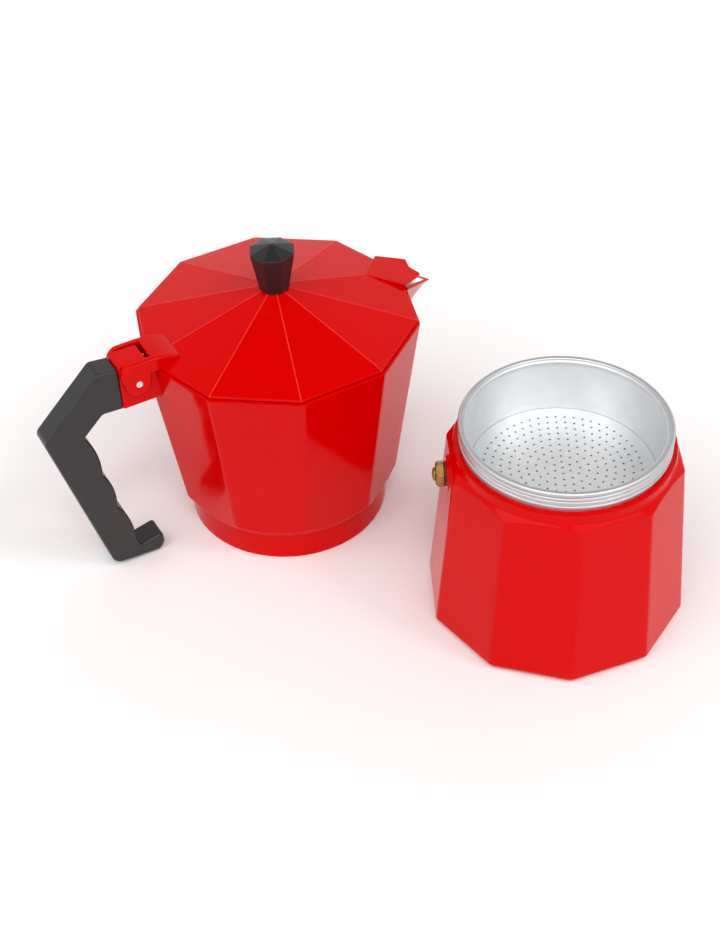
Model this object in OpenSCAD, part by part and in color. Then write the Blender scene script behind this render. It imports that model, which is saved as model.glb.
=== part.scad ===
// Moka pot, taken apart: the boiler with its coffee funnel, and the upper chamber standing beside it.
// Millimetres, +Z up. The origin is the centre of the boiler's base, and +X runs from handle to spout.

/* [Layout] */
// Distance of the upper chamber's axis from the boiler's, along X
chamber_x = -74; // [-150:1:-60]
// How far the two halves' widest corners pass each other along Y
side_overlap = 0.9; // [-40:0.1:2]
// Turn of the boiler's first corner about its axis
boiler_turn = 27; // [0:1:36]
// Turn of the knob's first corner about its axis
knob_turn = 41; // [0:1:45]

/* [Boiler] */
// Radius of the neck's bore, which the funnel, the gasket and both collars follow
neck_bore_r = 43.7; // [34:0.1:56]
// Wall of the neck, over its thread
neck_wall = 2.6; // [2.2:0.1:3.6]
// Height of the neck above its seat
neck_h = 5.9; // [5:0.1:7]
// Width of the flat seat round the neck
seat_w = 2.1; // [2:0.1:4]
// Height of the round band under the seat
band_h = 4.42; // [3:0.01:8]
// How far the boiler's corners stand out from the band where its facets end
shoulder_w = 4; // [3:0.1:8]
// How much wider the boiler's corners stand at the base than at the shoulder
boiler_flare = 7.1; // [3:0.1:12]
// Height of the widest line above the floor
boiler_base_rise = 3.5; // [2:0.5:6]
// Height at which the corner edges end
boiler_edge_z = 84.8; // [68:0.1:110]
// Wall of the boiler casting
boiler_wall = 2.6; // [2:0.1:4]
// Floor of the boiler casting
boiler_floor = 3.5; // [2.5:0.1:5]

/* [Funnel] */
// Clearance between the funnel cup and the neck's bore
cup_gap = 0.3; // [0.2:0.05:0.6]
// Wall of the funnel cup
cup_wall = 0.8; // [0.6:0.1:1.2]
// Height of the rolled rim that rests on the neck
rim_h = 4; // [3:0.1:5]
// Depth of the coffee basket from the rim to the sieve
basket_depth = 26.5; // [20:0.5:32]
// Amount by which the cup narrows from rim to sieve
cup_taper = 1.6; // [1:0.1:3]
// Outside radius of the funnel's stem
stem_r = 6; // [5:0.1:8]
// Gap between the stem's end and the boiler's floor
stem_gap = 5; // [4:0.5:8]
// Radius of the holes in the sieve and in the filter plate
hole_r = 0.8; // [0.6:0.05:1]
// Rings of holes in the sieve and in the filter plate
hole_rings = 5; // [3:1:6]

/* [Safety valve] */
// Depth of the valve's axis below the corner edges' ends
valve_below = 8.8; // [8.5:0.1:30]
// Hexagon of the valve body, across flats
valve_flats = 10.5; // [9:0.5:13]
// Length of the hexagon
valve_hex_h = 4; // [3:0.5:6]
// Radius of the plunger's button
button_r = 2.95; // [2.5:0.05:3.5]
// How far the plunger lifts
valve_lift = 1.5; // [1:0.1:2]
// Radius of the plunger's stem
plunger_r = 1.04; // [0.9:0.01:1.2]

/* [Upper chamber] */
// Height of the chamber's rim
chamber_h = 107.9; // [88:0.1:135]
// How far the chamber's corners stand out from the collar where its facets end
chamber_foot_w = 5.9; // [4:0.1:10]
// How much wider the chamber's corners stand at the rim than where its facets end
chamber_flare = 12.1; // [6:0.1:18]
// Height at which the corner edges end
chamber_edge_z = 21.6; // [19:0.1:26]
// Height of the round collar
collar_h = 14.9; // [14.5:0.1:17]
// Wall of the chamber casting
chamber_wall = 2.4; // [2:0.1:3.2]
// Height of the chamber's floor
chamber_floor_z = 21; // [20.5:0.1:24]
// Depth of the threaded recess in the collar
recess_h = 12.2; // [12:0.1:13]
// Gasket thickness
gasket_h = 3; // [2.5:0.1:3.4]
// Drop of the pouring column's top below the rim
column_drop = 21.9; // [10:0.1:40]
// Reach of the spout's tip beyond the rim's corner
spout_out = 15.6; // [12:0.1:22]
// Drop of the spout's tip below the rim
spout_drop = 9.7; // [5:0.1:14]

/* [Lid and hinge] */
// How far the lid's corners stand inside the rim's
lid_inset = 1.4; // [0.5:0.1:2]
// Thickness of the lid
lid_wall = 1.5; // [1.2:0.1:2.5]
// Rise of the lid from its edge to the knob's seat
lid_rise = 15; // [10:0.5:20]
// Gap between the closed lid and the chamber's rim
lid_gap = 0.3; // [0.2:0.05:0.6]
// Distance of the hinge pin outside the rim's corner
pin_out = 6.7; // [6:0.1:8]
// Depth of the hinge pin below the rim
pin_below = 2.8; // [2:0.1:4]
// Radius of the hinge pin
pin_r = 1.6; // [1.4:0.05:2]
// Clearance between the pin and the lug's bore
pin_clear = 0.05; // [0.02:0.01:0.1]
// Thickness of the lug and of the handle's root
lug_t = 12.2; // [10:0.1:14]
// Height of the lug's top above the pin
lug_top = 10.2; // [8:0.1:10.4]
// Gap between the lug and each cheek of the lid
cheek_gap = 0.3; // [0.2:0.05:0.5]
// Thickness of each cheek
cheek_t = 3; // [2:0.1:4]

/* [Knob] */
// Corner radius of the knob at the top
knob_top_r = 10.8; // [9:0.1:14]
// Corner radius of the knob at the bottom
knob_foot_r = 6.9; // [6:0.1:9]
// Height of the knob's tapered sides
knob_h = 20; // [14:0.5:26]
// Height of the knob's pointed crown above them
knob_crown = 3.2; // [0.5:0.1:5]

/* [Handle] */
// Thickness of the handle
handle_t = 12.2; // [10:0.1:14]
// Distance from the chamber's rim corner to the handle's outermost corner
handle_out = 53; // [46:0.5:60]
// Height of the handle's underside above the floor
handle_clear = 1; // [0.5:0.5:6]
// Depth of the bow of each finger rest
finger_bow = 1.8; // [1:0.1:3]

/* [Hidden] */
$fn = 64;

sides = 10;
facet_in = cos(180 / sides);                        // a facet's distance over its corner's
overlap = 1;                                        // how far one cut runs past the face it opens
press = 0.05;                                       // gap left between pieces that are driven together

// boiler
neck_r = neck_bore_r + neck_wall;
collar_r = neck_r + seat_w;                         // round band under the neck, and the collar that meets it
boiler_top_r = collar_r + shoulder_w;
boiler_base_r = boiler_top_r + boiler_flare;
boiler_slope = (boiler_base_r - boiler_top_r) / (boiler_edge_z - boiler_base_rise);
shoulder_slope = 0.82;
shoulder_foot_z = boiler_edge_z + shoulder_slope * shoulder_w;
seat_z = shoulder_foot_z + band_h;
neck_z = seat_z + neck_h;
thread_h = 0.6;
thread_pitch = 2.5;
foot_in = 2.2;                                      // how far the base draws in below the widest line

// funnel
rim_z = neck_z + rim_h;
cup_r = neck_bore_r - cup_gap;
sieve_z = rim_z - basket_depth;
sieve_t = 1;
hole_margin = 6;                                    // plain rim of the sieve and of the filter plate
sieve_r = cup_r - cup_taper - cup_wall;
cone_h = 7;
stem_top_z = sieve_z - cone_h;
stem_wall = 1.1;
stem_end_z = boiler_floor + stem_gap;

// safety valve, lengths along its own axis from the boiler's
valve_z = boiler_edge_z - valve_below;
valve_dir = boiler_turn + 126;
valve_face = facet_in * (boiler_base_r - boiler_slope * (valve_z - boiler_base_rise)) + 0.7;
seal_t = 0.5;
hex_in = valve_face + seal_t;
hex_out = hex_in + valve_hex_h;
valve_in = valve_face - 7.4;
shank_r = 4.2;
seat_t = 1;
poppet_t = 1;
poppet_r = 2.42;
valve_bore_r = poppet_r + 0.08;
lip_t = 1.5;
button_t = 1.5;
boss_r = 8;
poppet_in = valve_in + seat_t + press;
spring_in = poppet_in + poppet_t + press;
spring_out = hex_out - lip_t - press;
spring_wire_r = 0.3;
spring_coil_r = valve_bore_r - spring_wire_r - 0.15;
spring_turns = 5;

// chamber
chamber_foot_r = collar_r + chamber_foot_w;
chamber_rim_r = chamber_foot_r + chamber_flare;
chamber_y = boiler_base_r + chamber_rim_r - side_overlap;
spout_reach = chamber_rim_r + spout_out;
column_top_z = chamber_h - column_drop;
chamber_slope = (chamber_rim_r - chamber_foot_r) / (chamber_h - chamber_edge_z);
recess_r = neck_r + 0.9;
recess_thread_r = neck_r + 0.3;
gasket_in_r = neck_bore_r - 6.5;
dome_r = gasket_in_r - 0.5;
dome_z = chamber_floor_z - 3.5;
gasket_z = recess_h - gasket_h;
filter_r = gasket_in_r + 4;
filter_t = 0.8;
filter_rise = 2.4;                                  // height of the filter plate's raised middle
column_r = 9.5;
column_top_r = 7.5;
column_bore_r = 5.5;
spigot_r = 7.5;
edge_lean = tan(90 / sides * 2);                    // how fast a rim edge falls back from its corner
beak_half = 13.5;

// hinge
pin_x = -(chamber_rim_r + pin_out);
pin_z = chamber_h - pin_below;
slot_half = lug_t / 2 + cheek_gap;
tab_half = slot_half + cheek_t;
lug_in = 5.9;                                       // lug's reach from the pin, towards the lid
lug_out = 7.8;                                      // lug's reach from the pin, towards the handle
lug_round = 2.4;                                    // rounded outer corner, which clears the open lid
slot_end = 7.6;
slot_r = 12.1;                                      // the slot's end clears the lug as the lid swings
bracket_h = 23.5;
bracket_x = pin_x - lug_out;
tongue_l = 10;
tongue_h = 9;
tongue_t = 6;
tongue_z = pin_z - 2;

// lid
lid_r = chamber_rim_r - lid_inset;
lid_edge_z = chamber_h + lid_gap;
lid_top_z = lid_edge_z + lid_wall;
knob_z = lid_top_z + lid_rise;
knob_seat_r = knob_foot_r + 0.6;
lid_lean = lid_rise / (lid_r - knob_seat_r);
lid_in_r = lid_r - lid_wall / facet_in;
lid_crown = 2.6;                                    // thickness of the lid under the knob
lid_under_z = knob_z - lid_crown;
tab_top = 10.9;                                     // tab's top above the pin
tab_root = 20;                                      // where the tab meets the lid's ridge, from the pin
hood_in = lid_r - 18.8;
hood_half = 14;
hood_out = lid_r + 8.4;
hood_horn = 7;
hood_notch = 2.1;
hood_t = 2.4;
hood_edge_t = 1.5;                                  // thickness of the hood's edge beyond its foot
hood_lip = 1.5;                                     // how far the edge stands out from the foot
hood_lean = 10.8;

// fasteners
washer_t = 0.8;
insert_r = 3.4;
insert_h = 10;
insert_up = 0.5;                                    // insert's foot above the lid
knob_screw_r = 2;
knob_screw_l = overlap + washer_t + lid_crown + insert_up + insert_h;
knob_head_r = 4;
knob_head_h = 2.2;
handle_screw_r = 1.5;
handle_screw_x = bracket_x - 5.2;
screw_head_r = 2.9;
screw_head_h = 2;

// handle corners: distance out from the chamber's axis, height, corner radius
handle_in = -bracket_x + press;
outer_r = chamber_rim_r + handle_out;
handle_top = pin_z + lug_top - 1.6;
root_z = pin_z + lug_top - bracket_h + 0.4;
hook_r = outer_r - 48.5;
knee_z = pin_z - 17.9;                              // outermost corner of the handle
finger_r = [outer_r - 18.6, outer_r - 23.9, outer_r - 28.2, outer_r - 34.6];
finger_low = handle_clear + 13;
finger_high = root_z - 8.7;
finger_z = [for (t = [1, 0.647, 0.338, 0]) finger_low + (finger_high - finger_low) * t];

function unit(v) = v / norm(v);

// An arc that rounds corner b between a and c
function corner(a, b, c, r, n = 5) =
    r == 0 ? [b] :
    let (u = unit(a - b),
         w = unit(c - b),
         half = acos(u * w) / 2,
         m = b + unit(u + w) * r / sin(half),
         p = b + u * r / tan(half) - m,
         q = b + w * r / tan(half) - m,
         from = atan2(p[1], p[0]),
         turn = (atan2(q[1], q[0]) - from + 900) % 360 - 180)
    [for (i = [0:n]) m + r * [cos(from + turn * i / n), sin(from + turn * i / n)]];

// A closed outline from rows of [x, y, corner radius]
function rounded(rows) =
    let (last = len(rows) - 1)
    [for (i = [0:last])
        let (a = rows[i == 0 ? last : i - 1],
             b = rows[i],
             c = rows[i == last ? 0 : i + 1])
        each corner([a[0], a[1]], [b[0], b[1]], [c[0], c[1]], b[2])];

// Rows along a shallow arc from p to q, bowed to the left of the way
function bow(p, q, depth, n = 8) =
    let (side = unit([p[1] - q[1], q[0] - p[0]]))
    [for (i = [0:n])
        let (t = i / n,
             m = p + (q - p) * t + side * depth * 4 * t * (1 - t))
        [m[0], m[1], 0]];

// Points along a curve drawn from a to c, pulled towards b
function pull(a, b, c, t) = a * (1 - t) * (1 - t) + b * 2 * t * (1 - t) + c * t * t;

module at_chamber() {
    translate([chamber_x, chamber_y, 0]) children();
}

module at_pin() {
    translate([pin_x, 0, pin_z]) rotate([90, 0, 0]) children();
}

module at_valve() {
    rotate(valve_dir) translate([0, 0, valve_z]) rotate([0, 90, 0]) children();
}

// A solid drawn in the X-Z plane and spread evenly along Y
module plate_xz(t) {
    rotate([90, 0, 0]) translate([0, 0, -t / 2]) linear_extrude(t) children();
}

module ten_sided(z0, r0, z1, r1) {
    translate([0, 0, z0]) cylinder(h = z1 - z0, r1 = r0, r2 = r1, $fn = sides);
}

module ring(r_in, r_out, z0, h) {
    rotate_extrude() translate([r_in, z0]) square([r_out - r_in, h]);
}

// One thread ridge, drawn as a closed ring; depth points outwards, or inwards when negative
module thread_ring(r, z, depth) {
    root = depth > 0 ? r - overlap : r + overlap;
    rotate_extrude()
        polygon([[root, z], [r, z], [r + depth, z + 0.5], [r + depth, z + 0.9], [r, z + 1.4], [root, z + 1.4]]);
}

// Rings of holes over a plate of radius r, six more in each ring
module hole_pattern(r) {
    pitch = (r - hole_margin) / hole_rings;
    circle(hole_r, $fn = 16);
    for (k = [1:hole_rings])
        for (i = [0:6 * k - 1])
            rotate(60 * i / k) translate([k * pitch, 0]) circle(hole_r, $fn = 16);
}

// ---- Boiler

module boiler_outside() {
    wide = boiler_base_r + 10;
    intersection() {
        rotate(boiler_turn) union() {
            ten_sided(0, boiler_base_r - foot_in, boiler_base_rise, boiler_base_r);
            ten_sided(boiler_base_rise, boiler_base_r, seat_z + overlap,
                      boiler_base_r - boiler_slope * (seat_z + overlap - boiler_base_rise));
        }
        rotate_extrude()
            polygon([[0, 0], [wide, 0], [wide, boiler_edge_z - shoulder_slope * (wide - boiler_top_r)],
                     [collar_r, shoulder_foot_z], [collar_r, seat_z - 0.8], [collar_r - 0.8, seat_z],
                     [0, seat_z]]);
    }
}

module boiler_inside() {
    corner_wall = boiler_wall / facet_in;
    wide = boiler_base_r + 10;
    roof_z = seat_z - boiler_wall - 1.4;
    intersection() {
        rotate(boiler_turn)
            ten_sided(boiler_floor, boiler_base_r - corner_wall, seat_z,
                      boiler_base_r - corner_wall - boiler_slope * (seat_z - boiler_floor));
        rotate_extrude()
            polygon([[0, 0], [wide, 0], [wide, roof_z - shoulder_slope * (wide - neck_bore_r)],
                     [neck_bore_r, roof_z], [0, roof_z]]);
    }
}

module boiler_body() {
    color("firebrick") difference() {
        union() {
            boiler_outside();
            cylinder(h = neck_z, r = neck_r - thread_h);
            for (k = [0:1]) thread_ring(neck_r - thread_h, seat_z + 0.8 + k * thread_pitch, thread_h);
            at_valve() cylinder(h = valve_face, r = boss_r);
        }
        boiler_inside();
        translate([0, 0, boiler_floor + overlap]) cylinder(h = neck_z, r = neck_bore_r);
        at_valve() cylinder(h = valve_face + overlap, r = shank_r);
    }
}

// ---- Safety valve

module valve_body() {
    color("goldenrod") at_valve() difference() {
        union() {
            translate([0, 0, valve_in]) cylinder(h = hex_out - valve_in, r = shank_r - press);
            translate([0, 0, hex_in]) cylinder(h = valve_hex_h, r = valve_flats / 2 / cos(30), $fn = 6);
        }
        translate([0, 0, valve_in - overlap])
            cylinder(h = hex_out - lip_t - valve_in + overlap, r = valve_bore_r);
        translate([0, 0, valve_in]) cylinder(h = hex_out, r = plunger_r + 0.06);
    }
}

module valve_seal() {
    color("saddlebrown") at_valve() difference() {
        translate([0, 0, valve_face]) cylinder(h = seal_t, r = valve_flats / 2 + 0.4);
        cylinder(h = hex_out, r = shank_r + press);
    }
}

module valve_seat() {
    color("goldenrod") at_valve() difference() {
        translate([0, 0, valve_in]) cylinder(h = seat_t, r = valve_bore_r);
        cylinder(h = hex_out, r = plunger_r + 0.4);
    }
}

module valve_plunger() {
    color("darkgoldenrod") at_valve() {
        translate([0, 0, poppet_in]) cylinder(h = poppet_t, r = poppet_r);
        translate([0, 0, poppet_in]) cylinder(h = hex_out + overlap - poppet_in, r = plunger_r);
        translate([0, 0, hex_out + press]) cylinder(h = button_t, r = button_r);
    }
}

module valve_spring() {
    steps = 14;
    rings = spring_turns * steps;
    around = 6;
    length = spring_out - spring_in - 2 * spring_wire_r;
    pts = [for (i = [0:rings])
        let (a = 360 * i / steps)
        for (j = [0:around - 1])
            let (b = 360 * j / around,
                 r = spring_coil_r + spring_wire_r * cos(b))
            [r * cos(a), r * sin(a), spring_wire_r * (1 + sin(b)) + length * i / rings]];
    sides_faces = [for (i = [0:rings - 1])
        for (j = [0:around - 1])
            let (k = (j + 1) % around)
            [i * around + j, (i + 1) * around + j, (i + 1) * around + k, i * around + k]];
    near_end = [[for (j = [0:around - 1]) j]];
    far_end = [[for (j = [around - 1:-1:0]) rings * around + j]];
    color("silver") at_valve() translate([0, 0, spring_in])
        polyhedron(pts, concat(sides_faces, near_end, far_end));
}

// ---- Funnel

module funnel_cup() {
    inner_top = cup_r - cup_wall;
    floor_in = sieve_z - sieve_t;
    color("silver") rotate_extrude()
        polygon([[neck_r - 2, rim_z], [neck_r - 0.8, rim_z - 0.4], [neck_r, rim_z - 1.4],
                 [neck_r, neck_z + 1.2], [neck_r - 0.8, neck_z], [cup_r, neck_z],
                 [sieve_r + cup_wall, floor_in], [stem_r + 0.4, stem_top_z - cup_wall],
                 [stem_r + 0.4, stem_top_z - 6], [stem_r + press, stem_top_z - 6],
                 [stem_r + press, stem_top_z], [sieve_r - 1.4, floor_in], [sieve_r, floor_in],
                 [sieve_r, sieve_z], [inner_top, neck_z], [inner_top, rim_z - 2.2],
                 [inner_top + 0.5, rim_z - 0.8]]);
}

module funnel_sieve() {
    color("gainsboro") translate([0, 0, sieve_z - sieve_t]) linear_extrude(sieve_t) difference() {
        circle(sieve_r - press);
        hole_pattern(sieve_r);
    }
}

module funnel_stem() {
    color("silver") ring(stem_r - stem_wall, stem_r, stem_end_z, stem_top_z - stem_end_z);
}

// ---- Upper chamber

module chamber_outside() {
    wide = chamber_rim_r + 10;
    foot_lean = (chamber_edge_z - collar_h) / (chamber_foot_r - collar_r);
    intersection() {
        ten_sided(0, chamber_rim_r - chamber_slope * chamber_h, chamber_h, chamber_rim_r);
        rotate_extrude()
            polygon([[0, 0], [collar_r - 0.8, 0], [collar_r, 0.8], [collar_r, collar_h],
                     [wide, collar_h + foot_lean * (wide - collar_r)], [wide, chamber_h], [0, chamber_h]]);
    }
}

// V-shaped beak at the corner above +X: a keel that sweeps up, and two edges that run from the rim to the tip
module beak() {
    n = 6;
    low_z = chamber_h - 36;
    low_r = chamber_rim_r - chamber_slope * 36;
    tip = [spout_reach, 0, chamber_h - spout_drop];
    start = [chamber_rim_r - edge_lean * beak_half, beak_half, chamber_h];
    bend = [spout_reach - 10.3, 0, chamber_h - 13.6];
    back = [-1.6, 0, 0];
    rows = [for (i = [-1:n])
        let (t = max(i, 0) / n,
             keel = pull([low_r, 0, low_z], bend, tip, t),
             edge = start + (tip + [0, 0.3, 0.4] - start) * t)
        each [for (p = [keel, edge, [edge[0], -edge[1], edge[2]]]) i < 0 ? p + back : p]];
    skin = [for (i = [0:n])
        for (j = [0:2])
            let (k = (j + 1) % 3)
            each [[3 * i + j, 3 * i + 3 + k, 3 * i + k], [3 * i + j, 3 * i + 3 + j, 3 * i + 3 + k]]];
    polyhedron(rows, concat(skin, [[0, 1, 2], [3 * n + 5, 3 * n + 4, 3 * n + 3]]));
}

// The way from the chamber into the beak, open at the top
module beak_way() {
    n = 4;
    wall = 2.4;
    low_z = chamber_h - 28;
    low_r = chamber_rim_r - chamber_slope * 36 - wall;
    bend = [spout_reach - 12.8, 0, chamber_h - 11.2];
    keel_end = [spout_reach - 3, 0, chamber_h - spout_drop + 0.4];
    start = [chamber_rim_r - edge_lean * beak_half - 0.6, beak_half - wall, chamber_h];
    rows = [for (i = [-1:n])
        let (t = max(i, 0) / n,
             keel = pull([low_r, 0, low_z], bend, keel_end, t),
             edge = start + (keel_end + [0, 0.6, 0.6] - start) * t)
        each [for (p = [keel, edge, [edge[0], edge[1], chamber_h + 9],
                        [edge[0], -edge[1], chamber_h + 9], [edge[0], -edge[1], edge[2]]])
                 i < 0 ? p - [10, 0, 0] : p]];
    skin = [for (i = [0:n])
        for (j = [0:4])
            let (k = (j + 1) % 5)
            each [[5 * i + j, 5 * i + 5 + k, 5 * i + k], [5 * i + j, 5 * i + 5 + j, 5 * i + 5 + k]]];
    polyhedron(rows, concat(skin, [[0, 1, 2, 3, 4], [for (j = [4:-1:0]) 5 * (n + 1) + j]]));
}

// The lug between the lid's cheeks, the bracket below it and the tongue that enters the handle
module bracket() {
    top = pin_z + lug_top;
    low = top - bracket_h;
    inner = -(chamber_rim_r - chamber_slope * bracket_h - 3);
    plate_xz(lug_t)
        polygon(rounded([[bracket_x, low, 0], [inner, low, 0], [inner, chamber_h, 0],
                         [pin_x + lug_in, chamber_h, 0], [pin_x + lug_in, top, 0.6],
                         [bracket_x, top, lug_round]]));
    translate([bracket_x - tongue_l, -tongue_t / 2, tongue_z - tongue_h / 2])
        cube([tongue_l + overlap, tongue_t, tongue_h]);
}

module chamber_body() {
    corner_wall = chamber_wall / facet_in;
    color("firebrick") difference() {
        union() {
            difference() {
                union() {
                    chamber_outside();
                    beak();
                }
                ten_sided(chamber_floor_z,
                          chamber_rim_r - corner_wall - chamber_slope * (chamber_h - chamber_floor_z),
                          chamber_h + overlap, chamber_rim_r - corner_wall + chamber_slope * overlap);
                beak_way();
            }
            difference() {
                bracket();
                ten_sided(chamber_floor_z,
                          chamber_rim_r - corner_wall - chamber_slope * (chamber_h - chamber_floor_z),
                          chamber_h, chamber_rim_r - corner_wall);
            }
        }
        difference() {
            translate([0, 0, -overlap]) cylinder(h = recess_h + overlap, r = recess_r);
            for (k = [0:1]) thread_ring(recess_r, 1.6 + k * thread_pitch, recess_thread_r - recess_r);
        }
        cylinder(h = dome_z, r = dome_r);
        cylinder(h = recess_h + filter_t + press, r = filter_r + press);
        cylinder(h = chamber_floor_z + overlap, r = spigot_r);
        at_pin() translate([0, 0, -lug_t]) cylinder(h = 2 * lug_t, r = pin_r + pin_clear, $fn = 32);
        translate([handle_screw_x, 0, tongue_z - tongue_h])
            cylinder(h = tongue_h + 3, r = handle_screw_r, $fn = 32);
    }
}

module upper_chamber() {
    at_chamber() chamber_body();
}

module pour_column() {
    base_z = chamber_floor_z;
    top_z = column_top_z;
    color("silver") at_chamber() difference() {
        rotate_extrude()
            polygon([[0, dome_z], [spigot_r - press, dome_z], [spigot_r - press, base_z + press],
                     [column_r + 1, base_z + press], [column_r + 1, base_z + 1.5], [column_r, base_z + 2.5],
                     [column_top_r, top_z - 3], [column_top_r - 1.2, top_z - 0.8], [column_top_r - 3, top_z],
                     [0, top_z]]);
        translate([0, 0, dome_z - overlap]) cylinder(h = top_z - 3 - dome_z + overlap, r = column_bore_r);
        translate([0, 0, top_z - 7.5]) rotate([90, 0, 0])
            cylinder(h = 4 * column_r, r = 3, center = true, $fn = 32);
    }
}

module gasket() {
    color("whitesmoke") at_chamber() ring(gasket_in_r, recess_r - 0.1, gasket_z, gasket_h - press);
}

module filter_plate() {
    dish_r = gasket_in_r - 2;
    color("gainsboro") at_chamber() {
        ring(dish_r - filter_t, filter_r, recess_h, filter_t);
        ring(dish_r - filter_t, dish_r, recess_h, filter_rise + filter_t);
        translate([0, 0, recess_h + filter_rise]) linear_extrude(filter_t) difference() {
            circle(dish_r);
            hole_pattern(dish_r);
        }
    }
}

// ---- Handle

module handle_outline() {
    rows = concat(
        [[handle_in, root_z, 0], [handle_in, handle_top, 0.8], [handle_in + 9.6, handle_top + 1.2, 3],
         [outer_r, knee_z, 4], [outer_r - 22.4, handle_clear + 1.6, 5], [hook_r + 2.2, handle_clear, 3],
         [hook_r, handle_clear + 4.5, 1.5], [hook_r + 0.6, handle_clear + 9.6, 1.5],
         [finger_r[3] - 1.8, handle_clear + 7, 1.5]],
        bow([finger_r[3], finger_z[3]], [finger_r[2], finger_z[2]], finger_bow),
        bow([finger_r[2], finger_z[2]], [finger_r[1], finger_z[1]], finger_bow),
        bow([finger_r[1], finger_z[1]], [finger_r[0], finger_z[0]], finger_bow),
        [[outer_r - 28.5, root_z + 0.6, 3]]);
    polygon([for (p = rounded(rows)) [-p[0], p[1]]]);
}

module handle() {
    fit = 0.1;
    color("#1c1c1e") at_chamber() difference() {
        plate_xz(handle_t) handle_outline();
        translate([bracket_x - tongue_l - fit, -tongue_t / 2 - fit, tongue_z - tongue_h / 2 - fit])
            cube([tongue_l + overlap, tongue_t + 2 * fit, tongue_h + 2 * fit]);
        translate([handle_screw_x, 0, root_z - overlap])
            cylinder(h = tongue_z - root_z, r = handle_screw_r + 0.2, $fn = 32);
        translate([handle_screw_x, 0, root_z - overlap])
            cylinder(h = screw_head_h + washer_t + overlap + 0.4, r = screw_head_r + 0.4, $fn = 32);
    }
}

module handle_screw() {
    head_z = root_z + 0.4;
    color("silver") at_chamber() translate([handle_screw_x, 0, head_z]) difference() {
        union() {
            cylinder(h = screw_head_h, r = screw_head_r, $fn = 32);
            cylinder(h = tongue_z + 2.5 - head_z, r = handle_screw_r - press, $fn = 32);
        }
        translate([-screw_head_r, -0.4, -overlap]) cube([2 * screw_head_r, 0.8, overlap + 0.9]);
    }
}

module handle_washer() {
    color("silver") at_chamber()
        translate([handle_screw_x, 0, 0])
            ring(handle_screw_r, screw_head_r + 0.3, root_z + 0.4 + screw_head_h, washer_t);
}

// ---- Lid

// The raised flat over the spout, with two horns and a shallow notch between them
module hood() {
    edge_r = lid_r - edge_lean * hood_half;

    module plan(trim) {
        out = hood_out - edge_r - trim;
        polygon([[hood_in - edge_r + trim, 0], [0, trim - hood_half], [out, trim - hood_horn],
                 [out - hood_notch, 0], [out, hood_horn - trim], [0, hood_half - trim]]);
    }

    translate([edge_r, 0, lid_top_z + hood_t - 0.2]) rotate([0, hood_lean, 0]) {
        translate([0, 0, -hood_edge_t]) linear_extrude(hood_edge_t) plan(0);
        translate([0, 0, -hood_t]) linear_extrude(hood_t) plan(hood_lip);
    }
}

// Side view of the hinge tab: it sinks into the lid's ridge at its root, and ends round the pin
module tab_side() {
    end_r = 6.3;
    top_r = 6;
    low = lid_edge_z - pin_z;
    on_lid = lid_top_z - pin_z + (lid_r + pin_x + tab_root) * lid_lean;
    circle(end_r);
    translate([-1.9, tab_top - top_r]) circle(top_r);
    polygon([[end_r, 0], [end_r, low], [tab_root, low], [tab_root, on_lid], [tab_root - 7, tab_top - 1],
             [tab_root - 12, tab_top], [-1.9, tab_top], [-1.9 - top_r, tab_top - top_r], [-end_r, 0]]);
}

module lid() {
    under_r = lid_in_r - (lid_under_z - lid_edge_z) / lid_lean;
    color("firebrick") at_chamber() difference() {
        union() {
            difference() {
                union() {
                    ten_sided(lid_edge_z, lid_r, lid_top_z, lid_r);
                    ten_sided(lid_top_z, lid_r, knob_z, knob_seat_r);
                    hood();
                }
                ten_sided(lid_edge_z - overlap, lid_in_r, lid_edge_z, lid_in_r);
                ten_sided(lid_edge_z, lid_in_r, lid_under_z, under_r);
            }
            translate([pin_x, 0, pin_z]) plate_xz(2 * tab_half) tab_side();
        }
        translate([pin_x, 0, pin_z]) plate_xz(2 * slot_half) {
            circle(slot_r);
            translate([-slot_r - 2, -slot_r]) square([slot_r + 2 + slot_end, 2 * slot_r + 4]);
        }
        at_pin() translate([0, 0, -tab_half - overlap])
            cylinder(h = 2 * (tab_half + overlap), r = pin_r, $fn = 32);
        translate([0, 0, lid_edge_z]) cylinder(h = knob_z, r = knob_screw_r + 0.2, $fn = 32);
    }
}

module hinge_pin() {
    head = 0.5;
    color("silver") at_chamber() at_pin() translate([0, 0, -tab_half - head])
        cylinder(h = 2 * (tab_half + head), r = pin_r, $fn = 32);
}

// ---- Knob

module lid_knob() {
    color("#1c1c1e") at_chamber() difference() {
        union() {
            rotate(knob_turn) translate([0, 0, knob_z])
                cylinder(h = knob_h, r1 = knob_foot_r, r2 = knob_top_r, $fn = 8);
            rotate(knob_turn) translate([0, 0, knob_z + knob_h])
                cylinder(h = knob_crown, r1 = knob_top_r, r2 = 0.8, $fn = 8);
        }
        translate([0, 0, knob_z - overlap])
            cylinder(h = overlap + insert_up + insert_h + 2, r = knob_screw_r + 0.2, $fn = 32);
        translate([0, 0, knob_z + insert_up]) cylinder(h = insert_h, r = insert_r, $fn = 32);
    }
}

module knob_insert() {
    color("goldenrod") at_chamber() translate([0, 0, knob_z + insert_up])
        ring(knob_screw_r, insert_r - press, press, insert_h - 2 * press);
}

module knob_screw() {
    head_top = lid_under_z - washer_t;
    slot_w = 1;
    slot_deep = 1;
    color("silver") at_chamber() difference() {
        union() {
            translate([0, 0, head_top - knob_head_h]) cylinder(h = knob_head_h, r = knob_head_r, $fn = 32);
            translate([0, 0, head_top - overlap])
                cylinder(h = knob_screw_l, r = knob_screw_r - press, $fn = 32);
        }
        translate([-knob_head_r, -slot_w / 2, head_top - knob_head_h - overlap])
            cube([2 * knob_head_r, slot_w, overlap + slot_deep]);
    }
}

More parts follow.
